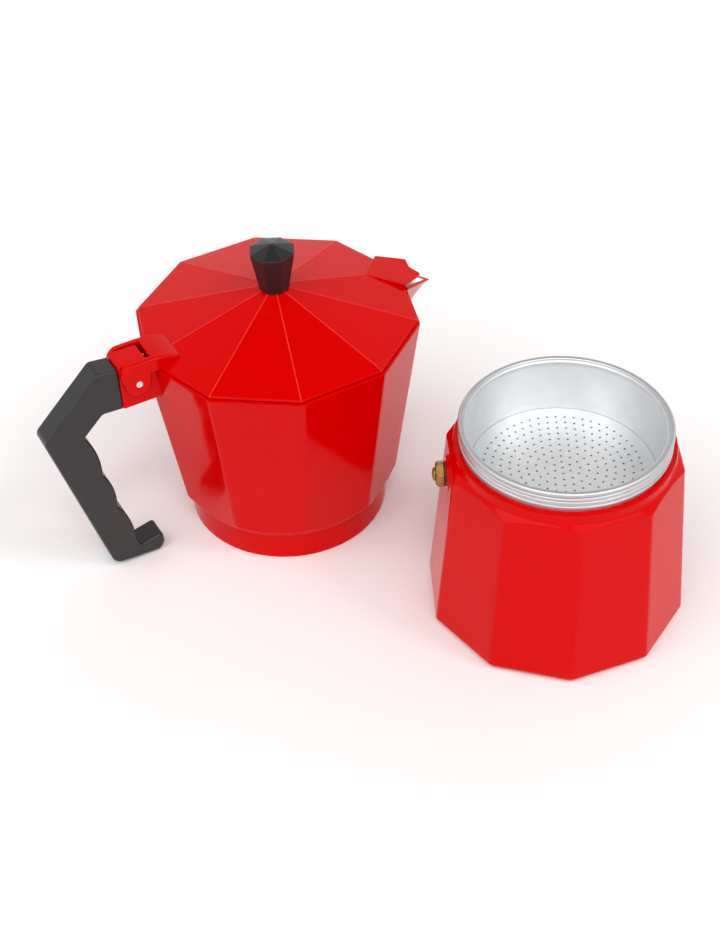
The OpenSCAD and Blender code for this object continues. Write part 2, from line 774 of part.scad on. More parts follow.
module knob_washer() {
    color("silver") at_chamber() ring(knob_screw_r + 0.1, knob_head_r + 1, lid_under_z - washer_t, washer_t);
}

boiler_body();
valve_body();
valve_seal();
valve_seat();
valve_plunger();
valve_spring();
funnel_cup();
funnel_sieve();
funnel_stem();
upper_chamber();  // chamber_body
pour_column();
gasket();
filter_plate();
handle();
handle_screw();
handle_washer();
lid();
hinge_pin();
lid_knob();
knob_insert();
knob_screw();
knob_washer();
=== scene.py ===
import math
import bmesh
import bpy
from mathutils import Matrix, Vector


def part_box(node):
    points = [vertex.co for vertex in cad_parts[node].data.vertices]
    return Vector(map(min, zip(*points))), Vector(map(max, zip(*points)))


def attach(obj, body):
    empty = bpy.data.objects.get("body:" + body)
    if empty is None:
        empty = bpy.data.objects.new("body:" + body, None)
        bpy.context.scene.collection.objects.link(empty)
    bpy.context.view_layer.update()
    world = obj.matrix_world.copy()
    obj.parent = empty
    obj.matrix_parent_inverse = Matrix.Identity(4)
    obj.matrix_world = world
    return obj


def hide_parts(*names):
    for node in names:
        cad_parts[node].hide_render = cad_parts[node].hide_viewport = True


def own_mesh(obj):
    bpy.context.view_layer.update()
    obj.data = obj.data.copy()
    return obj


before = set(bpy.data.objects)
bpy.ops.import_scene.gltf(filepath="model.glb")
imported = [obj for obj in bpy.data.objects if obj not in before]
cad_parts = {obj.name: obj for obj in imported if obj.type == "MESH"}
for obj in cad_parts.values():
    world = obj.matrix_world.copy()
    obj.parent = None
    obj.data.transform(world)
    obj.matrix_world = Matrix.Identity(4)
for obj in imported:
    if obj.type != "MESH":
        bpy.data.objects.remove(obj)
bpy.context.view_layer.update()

mm = 0.001
scene = bpy.context.scene
scene.view_settings.view_transform = "Standard"  # keeps the enamel as red as it is

boilerAxis = Vector((0, 0, 0))
baseLow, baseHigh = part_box("pour_column")  # the column stands on the chamber's axis
chamberAxis = Vector(((baseLow.x + baseHigh.x) / 2, (baseLow.y + baseHigh.y) / 2, 0))


# small helpers for meshes

def newObject(name, mesh):
    obj = bpy.data.objects.new(name, mesh)
    scene.collection.objects.link(obj)
    return obj


def turnOutward(mesh, merge=0.0):
    # every face looks outwards, once points closer than merge are joined
    work = bmesh.new()
    work.from_mesh(mesh)
    if merge:
        bmesh.ops.remove_doubles(work, verts=work.verts, dist=merge)
    bmesh.ops.recalc_face_normals(work, faces=work.faces)
    work.to_mesh(mesh)
    work.free()
    return mesh


def meshFrom(name, verts, faces):
    mesh = bpy.data.meshes.new(name)
    mesh.from_pydata([tuple(v) for v in verts], [], faces)
    return turnOutward(mesh)


def evaluatedMesh(obj):
    graph = bpy.context.evaluated_depsgraph_get()
    return bpy.data.meshes.new_from_object(obj.evaluated_get(graph), preserve_all_data_layers=True,
                                           depsgraph=graph)


def applyModifiers(obj):
    mesh = evaluatedMesh(obj)
    obj.modifiers.clear()
    obj.data = mesh
    return obj


def boolean(obj, cutter, operation):
    step = obj.modifiers.new("cut", "BOOLEAN")
    step.operation = operation
    step.solver = "EXACT"
    step.material_mode = "TRANSFER"
    step.object = cutter
    applyModifiers(obj)
    bpy.data.objects.remove(cutter)
    return obj


def finishShape(obj, angle=28):
    # smooth faces, hard edges by angle, large faces kept flat
    obj.data.shade_smooth()
    obj.data.set_sharp_from_angle(angle=math.radians(angle))
    flat = obj.modifiers.new("flat", "WEIGHTED_NORMAL")
    flat.keep_sharp = True
    flat.weight = 90
    return applyModifiers(obj)


def moveMesh(obj, matrix):
    obj.data.transform(matrix)
    return obj


def place(obj, body, slotName, *nodes):
    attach(obj, body)
    if nodes:
        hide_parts(*nodes)
    return obj


def setMaterial(obj, *materials):
    obj.data.materials.clear()
    for m in materials:
        obj.data.materials.append(m)
    return obj


def arc(centre, r, start, end, steps):
    # points of an arc in a plane, angles in degrees
    turns = [math.radians(start + (end - start) * i / steps) for i in range(steps + 1)]
    return [(centre[0] + r * math.cos(t), centre[1] + r * math.sin(t)) for t in turns]


def roundedOutline(rows, steps=6):
    # closed outline from (x, y, corner radius)
    points = []
    for i, (x, y, r) in enumerate(rows):
        here = Vector((x, y))
        if r == 0:
            points.append((x, y))
            continue
        toLast = (Vector(rows[i - 1][:2]) - here).normalized()
        toNext = (Vector(rows[(i + 1) % len(rows)][:2]) - here).normalized()
        half = toLast.angle(toNext) / 2
        middle = here + (toLast + toNext).normalized() * r / math.sin(half)
        first = here + toLast * r / math.tan(half) - middle
        last = here + toNext * r / math.tan(half) - middle
        start = math.atan2(first.y, first.x)
        turn = (math.atan2(last.y, last.x) - start + 3 * math.pi) % (2 * math.pi) - math.pi
        for k in range(steps + 1):
            a = start + turn * k / steps
            points.append((middle.x + r * math.cos(a), middle.y + r * math.sin(a)))
    return points


def shrunk(points, amount):
    # the outline drawn in by amount; points run anticlockwise
    result = []
    for i, p in enumerate(points):
        here = Vector(p)
        before = (here - Vector(points[i - 1])).normalized()
        after = (Vector(points[(i + 1) % len(points)]) - here).normalized()
        side = Vector((-before.y - after.y, before.x + after.x)).normalized()
        lean = max(0.5, side.dot(Vector((-before.y, before.x))))
        result.append(tuple(here + side * amount / lean))
    return result


def plate(name, outline, thickness, rim, steps=3):
    # an upright plate in X and Z with rounded rims, centred on Y, sizes in mm
    area = sum(outline[i - 1][0] * outline[i][1] - outline[i][0] * outline[i - 1][1]
               for i in range(len(outline)))
    if area < 0:
        outline = outline[::-1]
    levels = []
    for k in range(steps + 1):
        a = math.pi / 2 * k / steps
        levels.append((rim * (1 - math.sin(a)), thickness / 2 - rim + rim * math.cos(a)))
    rings = [(-y, inset) for inset, y in levels] + [(y, inset) for inset, y in levels[::-1]]
    verts = []
    for y, inset in rings:
        verts += [Vector((x, y, z)) * mm for x, z in shrunk(outline, inset)]
    n = len(outline)
    faces = [(k * n + i, k * n + (i + 1) % n, (k + 1) * n + (i + 1) % n, (k + 1) * n + i)
             for k in range(len(rings) - 1) for i in range(n)]
    faces += [tuple(range(n)), tuple((len(rings) - 1) * n + i for i in range(n))]
    return newObject(name, meshFrom(name, verts, faces))


def roundShell(name, rows, columns=96, closed=False):
    # turned piece from (radius, height) rows; the profile closes on itself, or ends on the axis
    rings = [(max(r, 0), z) for r, z in rows]
    verts, first = [], []
    for r, z in rings:
        first.append(len(verts))
        count = 1 if r < 1e-6 else columns
        for i in range(count):
            a = 2 * math.pi * i / columns
            verts.append(Vector((r * math.cos(a), r * math.sin(a), z)) * mm)
    faces = []
    pairs = list(zip(range(len(rings)), range(1, len(rings)))) + ([(len(rings) - 1, 0)] if closed else [])
    for a, b in pairs:
        for i in range(columns):
            j = (i + 1) % columns
            if rings[a][0] < 1e-6:
                faces.append((first[a], first[b] + i, first[b] + j))
            elif rings[b][0] < 1e-6:
                faces.append((first[a] + i, first[b], first[a] + j))
            else:
                faces.append((first[a] + i, first[b] + i, first[b] + j, first[a] + j))
    return newObject(name, meshFrom(name, verts, faces))


# small helpers for node trees

def link(tree, source, target):
    tree.links.new(source, target)


def node(tree, kind, **values):
    made = tree.nodes.new(kind)
    for key, value in values.items():
        if hasattr(made, key):
            setattr(made, key, value)
    return made


def calc(tree, operation, a, b=None, c=None):
    made = tree.nodes.new("ShaderNodeMath")
    made.operation = operation
    for socket, value in zip(made.inputs, (a, b, c)):
        if value is None:
            continue
        if isinstance(value, (int, float)):
            socket.default_value = value
        else:
            tree.links.new(value, socket)
    return made.outputs[0]


def newTree(name, inputs):
    tree = bpy.data.node_groups.new(name, "GeometryNodeTree")
    tree.interface.new_socket("Geometry", in_out="INPUT", socket_type="NodeSocketGeometry")
    for label, kind, value in inputs:
        socket = tree.interface.new_socket(label, in_out="INPUT", socket_type="NodeSocket" + kind)
        if value is not None:
            socket.default_value = value
    tree.interface.new_socket("Geometry", in_out="OUTPUT", socket_type="NodeSocketGeometry")
    return tree, tree.nodes.new("NodeGroupInput"), tree.nodes.new("NodeGroupOutput")


def endTree(tree, geometry, entry, leave):
    # realises the instances and gives them the tree's metal
    real = tree.nodes.new("GeometryNodeRealizeInstances")
    paint = tree.nodes.new("GeometryNodeSetMaterial")
    link(tree, geometry, real.inputs[0])
    link(tree, real.outputs[0], paint.inputs["Geometry"])
    link(tree, entry.outputs["Metal"], paint.inputs["Material"])
    link(tree, paint.outputs[0], leave.inputs[0])
    return tree


def runTree(obj, tree, **values):
    # sets the named inputs by their identifiers, then keeps the result as a plain mesh
    step = obj.modifiers.new(tree.name, "NODES")
    step.node_group = tree
    for item in tree.interface.items_tree:
        if item.in_out == "INPUT" and item.name in values:
            step[item.identifier] = values[item.name]
    return applyModifiers(obj)


# materials

def newMaterial(name):
    material = bpy.data.materials.new(name)
    material.use_nodes = True
    tree = material.node_tree
    tree.nodes.clear()
    output = tree.nodes.new("ShaderNodeOutputMaterial")
    shader = tree.nodes.new("ShaderNodeBsdfPrincipled")
    tree.links.new(shader.outputs[0], output.inputs[0])
    where = tree.nodes.new("ShaderNodeTexCoord").outputs["Object"]
    return material, tree, shader, where


def noise(tree, where, scale, detail=3, rough=0.5, stretch=(1, 1, 1)):
    mapping = tree.nodes.new("ShaderNodeMapping")
    mapping.inputs["Scale"].default_value = stretch
    made = tree.nodes.new("ShaderNodeTexNoise")
    made.inputs["Scale"].default_value = scale
    made.inputs["Detail"].default_value = detail
    made.inputs["Roughness"].default_value = rough
    link(tree, where, mapping.inputs[0])
    link(tree, mapping.outputs[0], made.inputs["Vector"])
    return made.outputs[0]


def between(tree, factor, low, high):
    # a number between low and high
    made = tree.nodes.new("ShaderNodeMapRange")
    made.inputs["To Min"].default_value = low
    made.inputs["To Max"].default_value = high
    link(tree, factor, made.inputs[0])
    return made.outputs[0]


def mixColour(tree, factor, low, high):
    made = tree.nodes.new("ShaderNodeMix")
    made.data_type = "RGBA"
    for socket, value in zip((made.inputs[0], made.inputs[6], made.inputs[7]), (factor, low, high)):
        if isinstance(value, tuple):
            socket.default_value = (*value, 1)
        elif isinstance(value, float):
            socket.default_value = value
        else:
            link(tree, value, socket)
    return made.outputs[2]


def bump(tree, shader, height, strength, distance):
    made = tree.nodes.new("ShaderNodeBump")
    made.inputs["Strength"].default_value = strength
    made.inputs["Distance"].default_value = distance
    link(tree, height, made.inputs["Height"])
    link(tree, made.outputs[0], shader.inputs["Normal"])


def aboutAxis(tree, where, centre):
    # places from an upright axis, and the distance from it
    mapping = tree.nodes.new("ShaderNodeMapping")
    mapping.inputs["Location"].default_value = (-centre.x, -centre.y, 0)
    link(tree, where, mapping.inputs[0])
    split = tree.nodes.new("ShaderNodeSeparateXYZ")
    link(tree, mapping.outputs[0], split.inputs[0])
    places = split.outputs
    square = calc(tree, "ADD", calc(tree, "POWER", places[0], 2.0), calc(tree, "POWER", places[1], 2.0))
    return places, calc(tree, "SQRT", square)


def ridgeLines(tree, where, sides, centre, width):
    # 1 on the lines from the axis to each corner, and 0 a little away from them
    places, reach = aboutAxis(tree, where, centre)
    turn = calc(tree, "ARCTAN2", places[1], places[0])
    step = 2 * math.pi / sides
    off = calc(tree, "PINGPONG", turn, step / 2)  # angle from the nearest corner
    away = calc(tree, "MULTIPLY", reach, calc(tree, "SINE", off))
    spread = tree.nodes.new("ShaderNodeMapRange")
    spread.inputs["From Min"].default_value = width
    spread.inputs["From Max"].default_value = width * 0.35
    link(tree, away, spread.inputs[0])
    return spread.outputs[0]


enamelLook = {
    "red": (0.66, 0.0, 0.0),
    "deepRed": (0.58, 0.0, 0.0),
    # pale red of the lid's ridge lines: partly real edge wear, partly a painted highlight
    "ridgeWearAndHighlightRed": (0.90, 0.06, 0.05),
    "ridgeWidth": 0.00030,
    "roughness": (0.05, 0.12),
    "specular": 0.10,
}


def makeEnamel(name, ridges=False):
    material, tree, shader, where = newMaterial(name)
    broad = noise(tree, where, 22, 2)
    fine = noise(tree, where, 900, 2)
    colour = mixColour(tree, between(tree, broad, 0.0, 1.0), enamelLook["deepRed"], enamelLook["red"])
    # the lid's ridges are painted a paler red in broken lines: partly real wear of the enamel on its edges,
    # partly a painted highlight along each ridge
    if ridges:
        patchy = between(tree, noise(tree, where, 260, 3), 0.15, 1.25)
        line = calc(tree, "MULTIPLY", ridgeLines(tree, where, 10, chamberAxis, enamelLook["ridgeWidth"]),
                    patchy)
        line = calc(tree, "MINIMUM", line, 1.0)
        colour = mixColour(tree, line, colour, enamelLook["ridgeWearAndHighlightRed"])
    link(tree, colour, shader.inputs["Base Color"])
    low, high = enamelLook["roughness"]
    link(tree, between(tree, noise(tree, where, 60, 4), low, high), shader.inputs["Roughness"])
    shader.inputs["Specular IOR Level"].default_value = enamelLook["specular"]
    ripple = calc(tree, "ADD", calc(tree, "MULTIPLY", noise(tree, where, 120, 2), 0.8),
                  calc(tree, "MULTIPLY", fine, 0.2))
    bump(tree, shader, ripple, 0.12, 0.00012)
    return material


aluminiumLook = {
    # the cup's shades are darker and the plate's lighter, though the cup and its sieve are one aluminium:
    # painted shade on the cup's walls, painted light on the sieve
    "cup": ((0.66, 0.675, 0.69), (0.82, 0.83, 0.84)),
    "plate": ((0.88, 0.885, 0.89), (0.98, 0.98, 0.98)),
    # darker shades for the boiler's neck and the funnel's rolled rim
    "darkerNeck": ((0.34, 0.34, 0.35), (0.90, 0.90, 0.91)),
    "roughness": (0.38, 0.54),
    "ringsPerMetre": 2600.0,
}


def makeAluminium(name, centre, shades, rings=0.0):
    # satin aluminium clouded by handling; rings is how strongly turning marks about its axis show
    material, tree, shader, where = newMaterial(name)
    cloud = noise(tree, where, 70, 5, 0.6)
    grain = noise(tree, where, 2400, 2)
    places, reach = aboutAxis(tree, where, centre)
    turned = node(tree, "ShaderNodeTexNoise", noise_dimensions="2D")
    turned.inputs["Scale"].default_value = 1.0
    turned.inputs["Detail"].default_value = 2
    join = tree.nodes.new("ShaderNodeCombineXYZ")
    link(tree, calc(tree, "MULTIPLY", reach, aluminiumLook["ringsPerMetre"]), join.inputs[0])
    link(tree, calc(tree, "MULTIPLY", places[2], aluminiumLook["ringsPerMetre"]), join.inputs[1])
    link(tree, join.outputs[0], turned.inputs["Vector"])
    shade = calc(tree, "ADD", calc(tree, "MULTIPLY", cloud, 1.0 - rings),
                 calc(tree, "MULTIPLY", turned.outputs[0], rings))
    low, high = shades
    link(tree, mixColour(tree, between(tree, shade, -0.15, 1.15), low, high), shader.inputs["Base Color"])
    shader.inputs["Metallic"].default_value = 1.0
    smooth, rough = aluminiumLook["roughness"]
    link(tree, between(tree, cloud, rough, smooth), shader.inputs["Roughness"])
    height = calc(tree, "ADD", calc(tree, "MULTIPLY", turned.outputs[0], 0.1 + rings),
                  calc(tree, "MULTIPLY", grain, 0.3))
    bump(tree, shader, height, 0.18, 0.00008)
    return material


bakeliteLook = {
    "dark": (0.011, 0.0095, 0.0100),
    "rubbed": (0.020, 0.0175, 0.0185),
    "roughness": (0.40, 0.26),
}


def makeBakelite():
    # moulded black resin: slightly brown, dull, rubbed paler in patches
    material, tree, shader, where = newMaterial("blackBakelite")
    cloud = noise(tree, where, 45, 5, 0.6)
    speck = noise(tree, where, 1600, 3)
    colour = mixColour(tree, between(tree, cloud, 0.0, 1.0), bakeliteLook["dark"], bakeliteLook["rubbed"])
    link(tree, colour, shader.inputs["Base Color"])
    link(tree, between(tree, cloud, *bakeliteLook["roughness"]), shader.inputs["Roughness"])
    shader.inputs["Specular IOR Level"].default_value = 0.5
    bump(tree, shader, speck, 0.22, 0.00010)
    return material


brassLook = {"tarnished": (0.22, 0.09, 0.03), "clean": (0.56, 0.32, 0.10), "roughness": (0.55, 0.28)}


def makeBrass():
    # aged brass of the safety valve, with brown tarnish in the low places
    material, tree, shader, where = newMaterial("agedBrass")
    tarnish = noise(tree, where, 420, 5, 0.65)
    colour = mixColour(tree, between(tree, tarnish, -0.2, 1.2), brassLook["tarnished"], brassLook["clean"])
    link(tree, colour, shader.inputs["Base Color"])
    shader.inputs["Metallic"].default_value = 0.9
    link(tree, between(tree, tarnish, *brassLook["roughness"]), shader.inputs["Roughness"])
    bump(tree, shader, noise(tree, where, 1500, 3), 0.25, 0.0001)
    return material


steelLook = {"dark": (0.45, 0.45, 0.46), "bright": (0.66, 0.66, 0.67), "roughness": (0.24, 0.40)}


def makeSteel():
    material, tree, shader, where = newMaterial("screwSteel")
    drawn = noise(tree, where, 900, 3, 0.5, (1, 1, 0.15))
    link(tree, mixColour(tree, drawn, steelLook["dark"], steelLook["bright"]), shader.inputs["Base Color"])
    shader.inputs["Metallic"].default_value = 1.0
    link(tree, between(tree, drawn, *steelLook["roughness"]), shader.inputs["Roughness"])
    bump(tree, shader, drawn, 0.15, 0.00006)
    return material


def makeSoft(name, low, high, roughness, scale):
    # silicone or pressed fibre
    material, tree, shader, where = newMaterial(name)
    mottle = noise(tree, where, scale, 4, 0.6)
    link(tree, mixColour(tree, mottle, low, high), shader.inputs["Base Color"])
    link(tree, between(tree, mottle, roughness, roughness + 0.15), shader.inputs["Roughness"])
    bump(tree, shader, noise(tree, where, scale * 4, 2), 0.2, 0.0001)
    return material


redEnamel = makeEnamel("redEnamel")
lidEnamel = makeEnamel("lidEnamel", ridges=True)
# the funnel's cup takes the darker shades as painted shade, its sieve the lighter ones as painted light
cupAluminium = makeAluminium("cupAluminium", boilerAxis, aluminiumLook["cup"], 0.3)
sieveAluminium = makeAluminium("sieveAluminium", boilerAxis, aluminiumLook["plate"], 0.2)
neckAluminium = makeAluminium("neckAluminium", boilerAxis, aluminiumLook["darkerNeck"], 0.75)
chamberAluminium = makeAluminium("chamberAluminium", chamberAxis, aluminiumLook["cup"], 0.5)
castAluminium = makeAluminium("castAluminium", chamberAxis, aluminiumLook["plate"])
blackBakelite = makeBakelite()
agedBrass = makeBrass()
screwSteel = makeSteel()
whiteSilicone = makeSoft("whiteSilicone", (0.80, 0.78, 0.72), (0.88, 0.87, 0.83), 0.45, 300)
redFibre = makeSoft("redFibre", (0.12, 0.03, 0.02), (0.20, 0.05, 0.03), 0.7, 1800)
print("materials made")

nodeMaterials = {
    "boiler_body": redEnamel, "chamber_body": redEnamel, "lid": lidEnamel,
    "valve_body": agedBrass, "valve_seat": agedBrass, "valve_plunger": agedBrass, "knob_insert": agedBrass,
    "valve_seal": redFibre, "gasket": whiteSilicone,
    "valve_spring": screwSteel, "handle_screw": screwSteel, "handle_washer": screwSteel,
    "knob_screw": screwSteel, "knob_washer": screwSteel,
    "funnel_cup": cupAluminium, "funnel_sieve": sieveAluminium, "funnel_stem": cupAluminium,
    "pour_column": chamberAluminium, "filter_plate": chamberAluminium, "hinge_pin": castAluminium,
    "handle": blackBakelite, "lid_knob": blackBakelite,
}
for name, material in nodeMaterials.items():
    setMaterial(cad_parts[name], material)


# stage, light and camera

stageLook = {
    "floorSize": 6.0,
    "floor": (0.94, 0.94, 0.94),
    "horizon": 1.02,
    "overhead": 0.12,
    "darkens": (0.66, 0.92),  # how high the sky is, as a sine, where it starts and ends to darken
}


def makeFloor():
    half = stageLook["floorSize"] / 2
    mesh = meshFrom("floor", [(-half, -half, 0), (half, -half, 0), (half, half, 0), (-half, half, 0)],
                    [(0, 1, 2, 3)])
    floor = newObject("floor", mesh)
    material, tree, shader, where = newMaterial("paleFloor")
    pale = stageLook["floor"]
    link(tree, mixColour(tree, noise(tree, where, 8, 2), tuple(c * 0.99 for c in pale), pale),
         shader.inputs["Base Color"])
    shader.inputs["Roughness"].default_value = 0.9
    shader.inputs["Specular IOR Level"].default_value = 0.0
    setMaterial(floor, material)


def makeWorld():
    # white walls at the horizon that darken overhead
    world = bpy.data.worlds.new("studio")
    scene.world = world
    world.use_nodes = True
    tree = world.node_tree
    tree.nodes.clear()
    output = tree.nodes.new("ShaderNodeOutputWorld")
    back = tree.nodes.new("ShaderNodeBackground")
    coords = tree.nodes.new("ShaderNodeTexCoord")
    split = tree.nodes.new("ShaderNodeSeparateXYZ")
    ramp = tree.nodes.new("ShaderNodeMapRange")
    ramp.interpolation_type = "SMOOTHSTEP"
    ramp.inputs["From Min"].default_value, ramp.inputs["From Max"].default_value = stageLook["darkens"]
    ramp.inputs["To Min"].default_value = stageLook["horizon"]
    ramp.inputs["To Max"].default_value = stageLook["overhead"]
    link(tree, coords.outputs["Generated"], split.inputs[0])
    link(tree, split.outputs[2], ramp.inputs[0])
    link(tree, ramp.outputs[0], back.inputs["Strength"])
    link(tree, back.outputs[0], output.inputs[0])


# each light's azimuth and elevation, strength, and how wide it is, in degrees
lightLook = {
    "keyLight": (-48, 55, 1.0, 50),
    "fillLight": (42, 50, 0.7, 50),
    "edgeLight": (6, 61, 0.35, 11),
    "sideLight": (64, 52, 0.25, 11),
}


def softLight(name, azimuth, elevation, strength, softness):
    # broad light from far off; azimuth is measured from the camera's side, to the right when positive
    turn = math.radians(cameraLook["yaw"] + 180 + azimuth)
    rise = math.radians(elevation)
    away = Vector((math.cos(turn) * math.cos(rise), math.sin(turn) * math.cos(rise), math.sin(rise)))
    light = bpy.data.lights.new(name, "SUN")
    light.energy = strength
    light.angle = math.radians(softness)
    obj = bpy.data.objects.new(name, light)
    scene.collection.objects.link(obj)
    obj.location = away * 2
    obj.rotation_euler = (-away).to_track_quat("-Z", "Y").to_euler()


cameraLook = {
    "place": Vector((-0.3241, -0.4119, 0.5411)),
    "yaw": 61.536,
    "pitch": 41.63,
    "roll": -1.904,
    "lens": 61.57,
}


def makeCamera():
    yaw, pitch = math.radians(cameraLook["yaw"]), math.radians(cameraLook["pitch"])
    roll = math.radians(cameraLook["roll"])
    forward = Vector((math.cos(yaw) * math.cos(pitch), math.sin(yaw) * math.cos(pitch), -math.sin(pitch)))
    right = Vector((math.sin(yaw), -math.cos(yaw), 0))
    up = right.cross(forward)
    tilted = right * math.cos(roll) + up * math.sin(roll)
    upright = up * math.cos(roll) - right * math.sin(roll)
    camera = bpy.data.cameras.new("camera")
    camera.lens = cameraLook["lens"]
    camera.sensor_width = 36
    obj = bpy.data.objects.new("camera", camera)
    scene.collection.objects.link(obj)
    obj.matrix_world = Matrix((
        (tilted.x, upright.x, -forward.x, cameraLook["place"].x),
        (tilted.y, upright.y, -forward.y, cameraLook["place"].y),
        (tilted.z, upright.z, -forward.z, cameraLook["place"].z),
        (0, 0, 0, 1)))
    scene.camera = obj


makeFloor()
makeWorld()
for name, values in lightLook.items():
    softLight(name, *values)
makeCamera()
print("stage, lights and camera set")


# facetShell: turns a round lathe into a faceted one, cut by a cone where the facets end

def makeFacetTree():
    inputs = [("Sides", "Int", 10), ("Softness", "Float", 0.001), ("First corner", "Float", 0.0),
              ("End radius", "Float", 0.05), ("End height", "Float", 0.08), ("Wall slope", "Float", 0.0),
              ("Cone slope", "Float", 0.0), ("Centre", "Vector", None), ("Metal", "Material", None),
              ("Bare metal", "Material", None)]
    tree, entry, leave = newTree("facetShell", inputs)

    def attribute(name):
        made = node(tree, "GeometryNodeInputNamedAttribute", data_type="FLOAT")
        made.inputs["Name"].default_value = name
        return made.outputs[0]

    turn, reach, height = attribute("turn"), attribute("reach"), attribute("height")
    facet, follow = attribute("facet"), attribute("follow")
    # angle from the middle of the facet, and the facet's distance there against its corner's
    step = calc(tree, "DIVIDE", 2 * math.pi, entry.outputs["Sides"])
    half = calc(tree, "MULTIPLY", step, 0.5)
    local = calc(tree, "SUBTRACT", turn, calc(tree, "RADIANS", entry.outputs["First corner"]))
    wrapped = calc(tree, "SUBTRACT", calc(tree, "FLOORED_MODULO", local, step), half)
    aside = calc(tree, "ABSOLUTE", wrapped)
    inner = calc(tree, "COSINE", half)
    here = calc(tree, "DIVIDE", inner, calc(tree, "COSINE", aside))
    beside = calc(tree, "DIVIDE", inner, calc(tree, "COSINE", calc(tree, "SUBTRACT", step, aside)))
    soft = calc(tree, "DIVIDE", entry.outputs["Softness"], entry.outputs["End radius"])
    share = calc(tree, "SMOOTH_MIN", here, beside, soft)
    # a plain row stands at its own radius; a faceted one follows the share
    blend = calc(tree, "ADD", calc(tree, "MULTIPLY", calc(tree, "SUBTRACT", share, 1.0), facet), 1.0)
    plainR = calc(tree, "MULTIPLY", reach, blend)
    # a following row lies where the leaning facets meet the cone
    product = calc(tree, "MULTIPLY", entry.outputs["Wall slope"], entry.outputs["Cone slope"])
    top = calc(tree, "MULTIPLY", calc(tree, "MULTIPLY", share, entry.outputs["End radius"]),
               calc(tree, "SUBTRACT", 1.0, product))
    meetR = calc(tree, "DIVIDE", top, calc(tree, "SUBTRACT", 1.0, calc(tree, "MULTIPLY", share, product)))
    fall = calc(tree, "MULTIPLY", entry.outputs["Cone slope"],
                calc(tree, "SUBTRACT", entry.outputs["End radius"], meetR))
    meetZ = calc(tree, "ADD", entry.outputs["End height"], fall)
    followR = calc(tree, "ADD", meetR, reach)
    followZ = calc(tree, "ADD", meetZ, height)

    def chosen(plain, following):
        off = calc(tree, "SUBTRACT", following, plain)
        return calc(tree, "ADD", plain, calc(tree, "MULTIPLY", follow, off))

    finalR = chosen(plainR, followR)
    finalZ = chosen(height, followZ)
    join = tree.nodes.new("ShaderNodeCombineXYZ")
    link(tree, calc(tree, "MULTIPLY", finalR, calc(tree, "COSINE", turn)), join.inputs[0])
    link(tree, calc(tree, "MULTIPLY", finalR, calc(tree, "SINE", turn)), join.inputs[1])
    link(tree, finalZ, join.inputs[2])
    moved = node(tree, "ShaderNodeVectorMath", operation="ADD")
    link(tree, join.outputs[0], moved.inputs[0])
    link(tree, entry.outputs["Centre"], moved.inputs[1])
    shape = tree.nodes.new("GeometryNodeSetPosition")
    link(tree, entry.outputs["Geometry"], shape.inputs["Geometry"])
    link(tree, moved.outputs[0], shape.inputs["Position"])
    real = tree.nodes.new("GeometryNodeRealizeInstances")
    painted = tree.nodes.new("GeometryNodeSetMaterial")
    bare = tree.nodes.new("GeometryNodeSetMaterial")
    isBare = node(tree, "FunctionNodeCompare", data_type="FLOAT", operation="GREATER_THAN")
    link(tree, attribute("bare"), isBare.inputs[0])
    isBare.inputs[1].default_value = 0.5
    link(tree, shape.outputs[0], real.inputs[0])
    link(tree, real.outputs[0], painted.inputs["Geometry"])
    link(tree, entry.outputs["Metal"], painted.inputs["Material"])
    link(tree, painted.outputs[0], bare.inputs["Geometry"])
    link(tree, isBare.outputs[0], bare.inputs["Selection"])
    link(tree, entry.outputs["Bare metal"], bare.inputs["Material"])
    link(tree, bare.outputs[0], leave.inputs[0])
    return tree


facetTree = makeFacetTree()
# shares of a facet's width at which a lathe has its columns, close together at the corners
facetColumns = (0.0, 0.011, 0.025, 0.045, 0.08, 0.2, 0.4, 0.6, 0.8, 0.92, 0.955, 0.975, 0.989)


def row(r, z, facet=0.0, follow=0.0, bare=0.0):
    # a level of a faceted lathe; the last three are shares from 0 to 1
    return {"r": r, "z": z, "facet": facet, "follow": follow, "bare": bare}


def isPole(level):
    return level["r"] == 0 and not level["follow"]


def facetLathe(name, rows, sides, firstCorner, closed):
    step = 2 * math.pi / sides
    turns = [math.radians(firstCorner) + step * (k + c) for k in range(sides) for c in facetColumns]
    n = len(turns)
    verts, faces, first = [], [], []
    data = {"turn": [], "reach": [], "height": [], "facet": [], "follow": [], "bare": []}
    for level in rows:
        first.append(len(verts))
        for a in turns[:1] if isPole(level) else turns:
            radius = 60 if level["follow"] else level["r"]  # the tree places a following row
            verts.append(Vector((radius * math.cos(a), radius * math.sin(a), level["z"])) * mm)
            for key, value in (("turn", a), ("reach", level["r"] * mm), ("height", level["z"] * mm)):
                data[key].append(value)
            for key in ("facet", "follow", "bare"):
                data[key].append(level[key])
    count = len(rows)
    for k in range(count if closed else count - 1):
        after = (k + 1) % count
        a, b = first[k], first[after]
        for i in range(n):
            j = (i + 1) % n
            if isPole(rows[k]):
                faces.append((a, b + j, b + i))
            elif isPole(rows[after]):
                faces.append((a + i, a + j, b))
            else:
                faces.append((a + i, a + j, b + j, b + i))
    mesh = bpy.data.meshes.new(name)
    mesh.from_pydata([tuple(v) for v in verts], [], faces)
    for key, values in data.items():
        mesh.attributes.new(key, "FLOAT", "POINT").data.foreach_set("value", values)
    return newObject(name, mesh)


def cleanShell(obj):
    # the rows' own numbers aren't needed once the shape is made
    for name in ("turn", "reach", "height", "facet", "follow", "bare"):
        if name in obj.data.attributes:
            obj.data.attributes.remove(obj.data.attributes[name])
    turnOutward(obj.data, 1e-6)
    return obj


# boiler

boilerSize = {
    "turn": 27,
    "sides": 10,
    "softness": 1.1,
    "baseR": 59.5, "baseZ": 3.5, "footR": 57.3,
    "topR": 52.4, "topZ": 84.8,
    "shoulderSlope": 0.82,
    "collarR": 48.4, "seatZ": 92.5,
    "neckR": 45.7, "neckZ": 98.4, "boreR": 43.7,
    "wall": 2.6, "floor": 3.5,
    "valveTurn": 153, "valveZ": 76, "bossR": 8, "bossOut": 51.27,
}


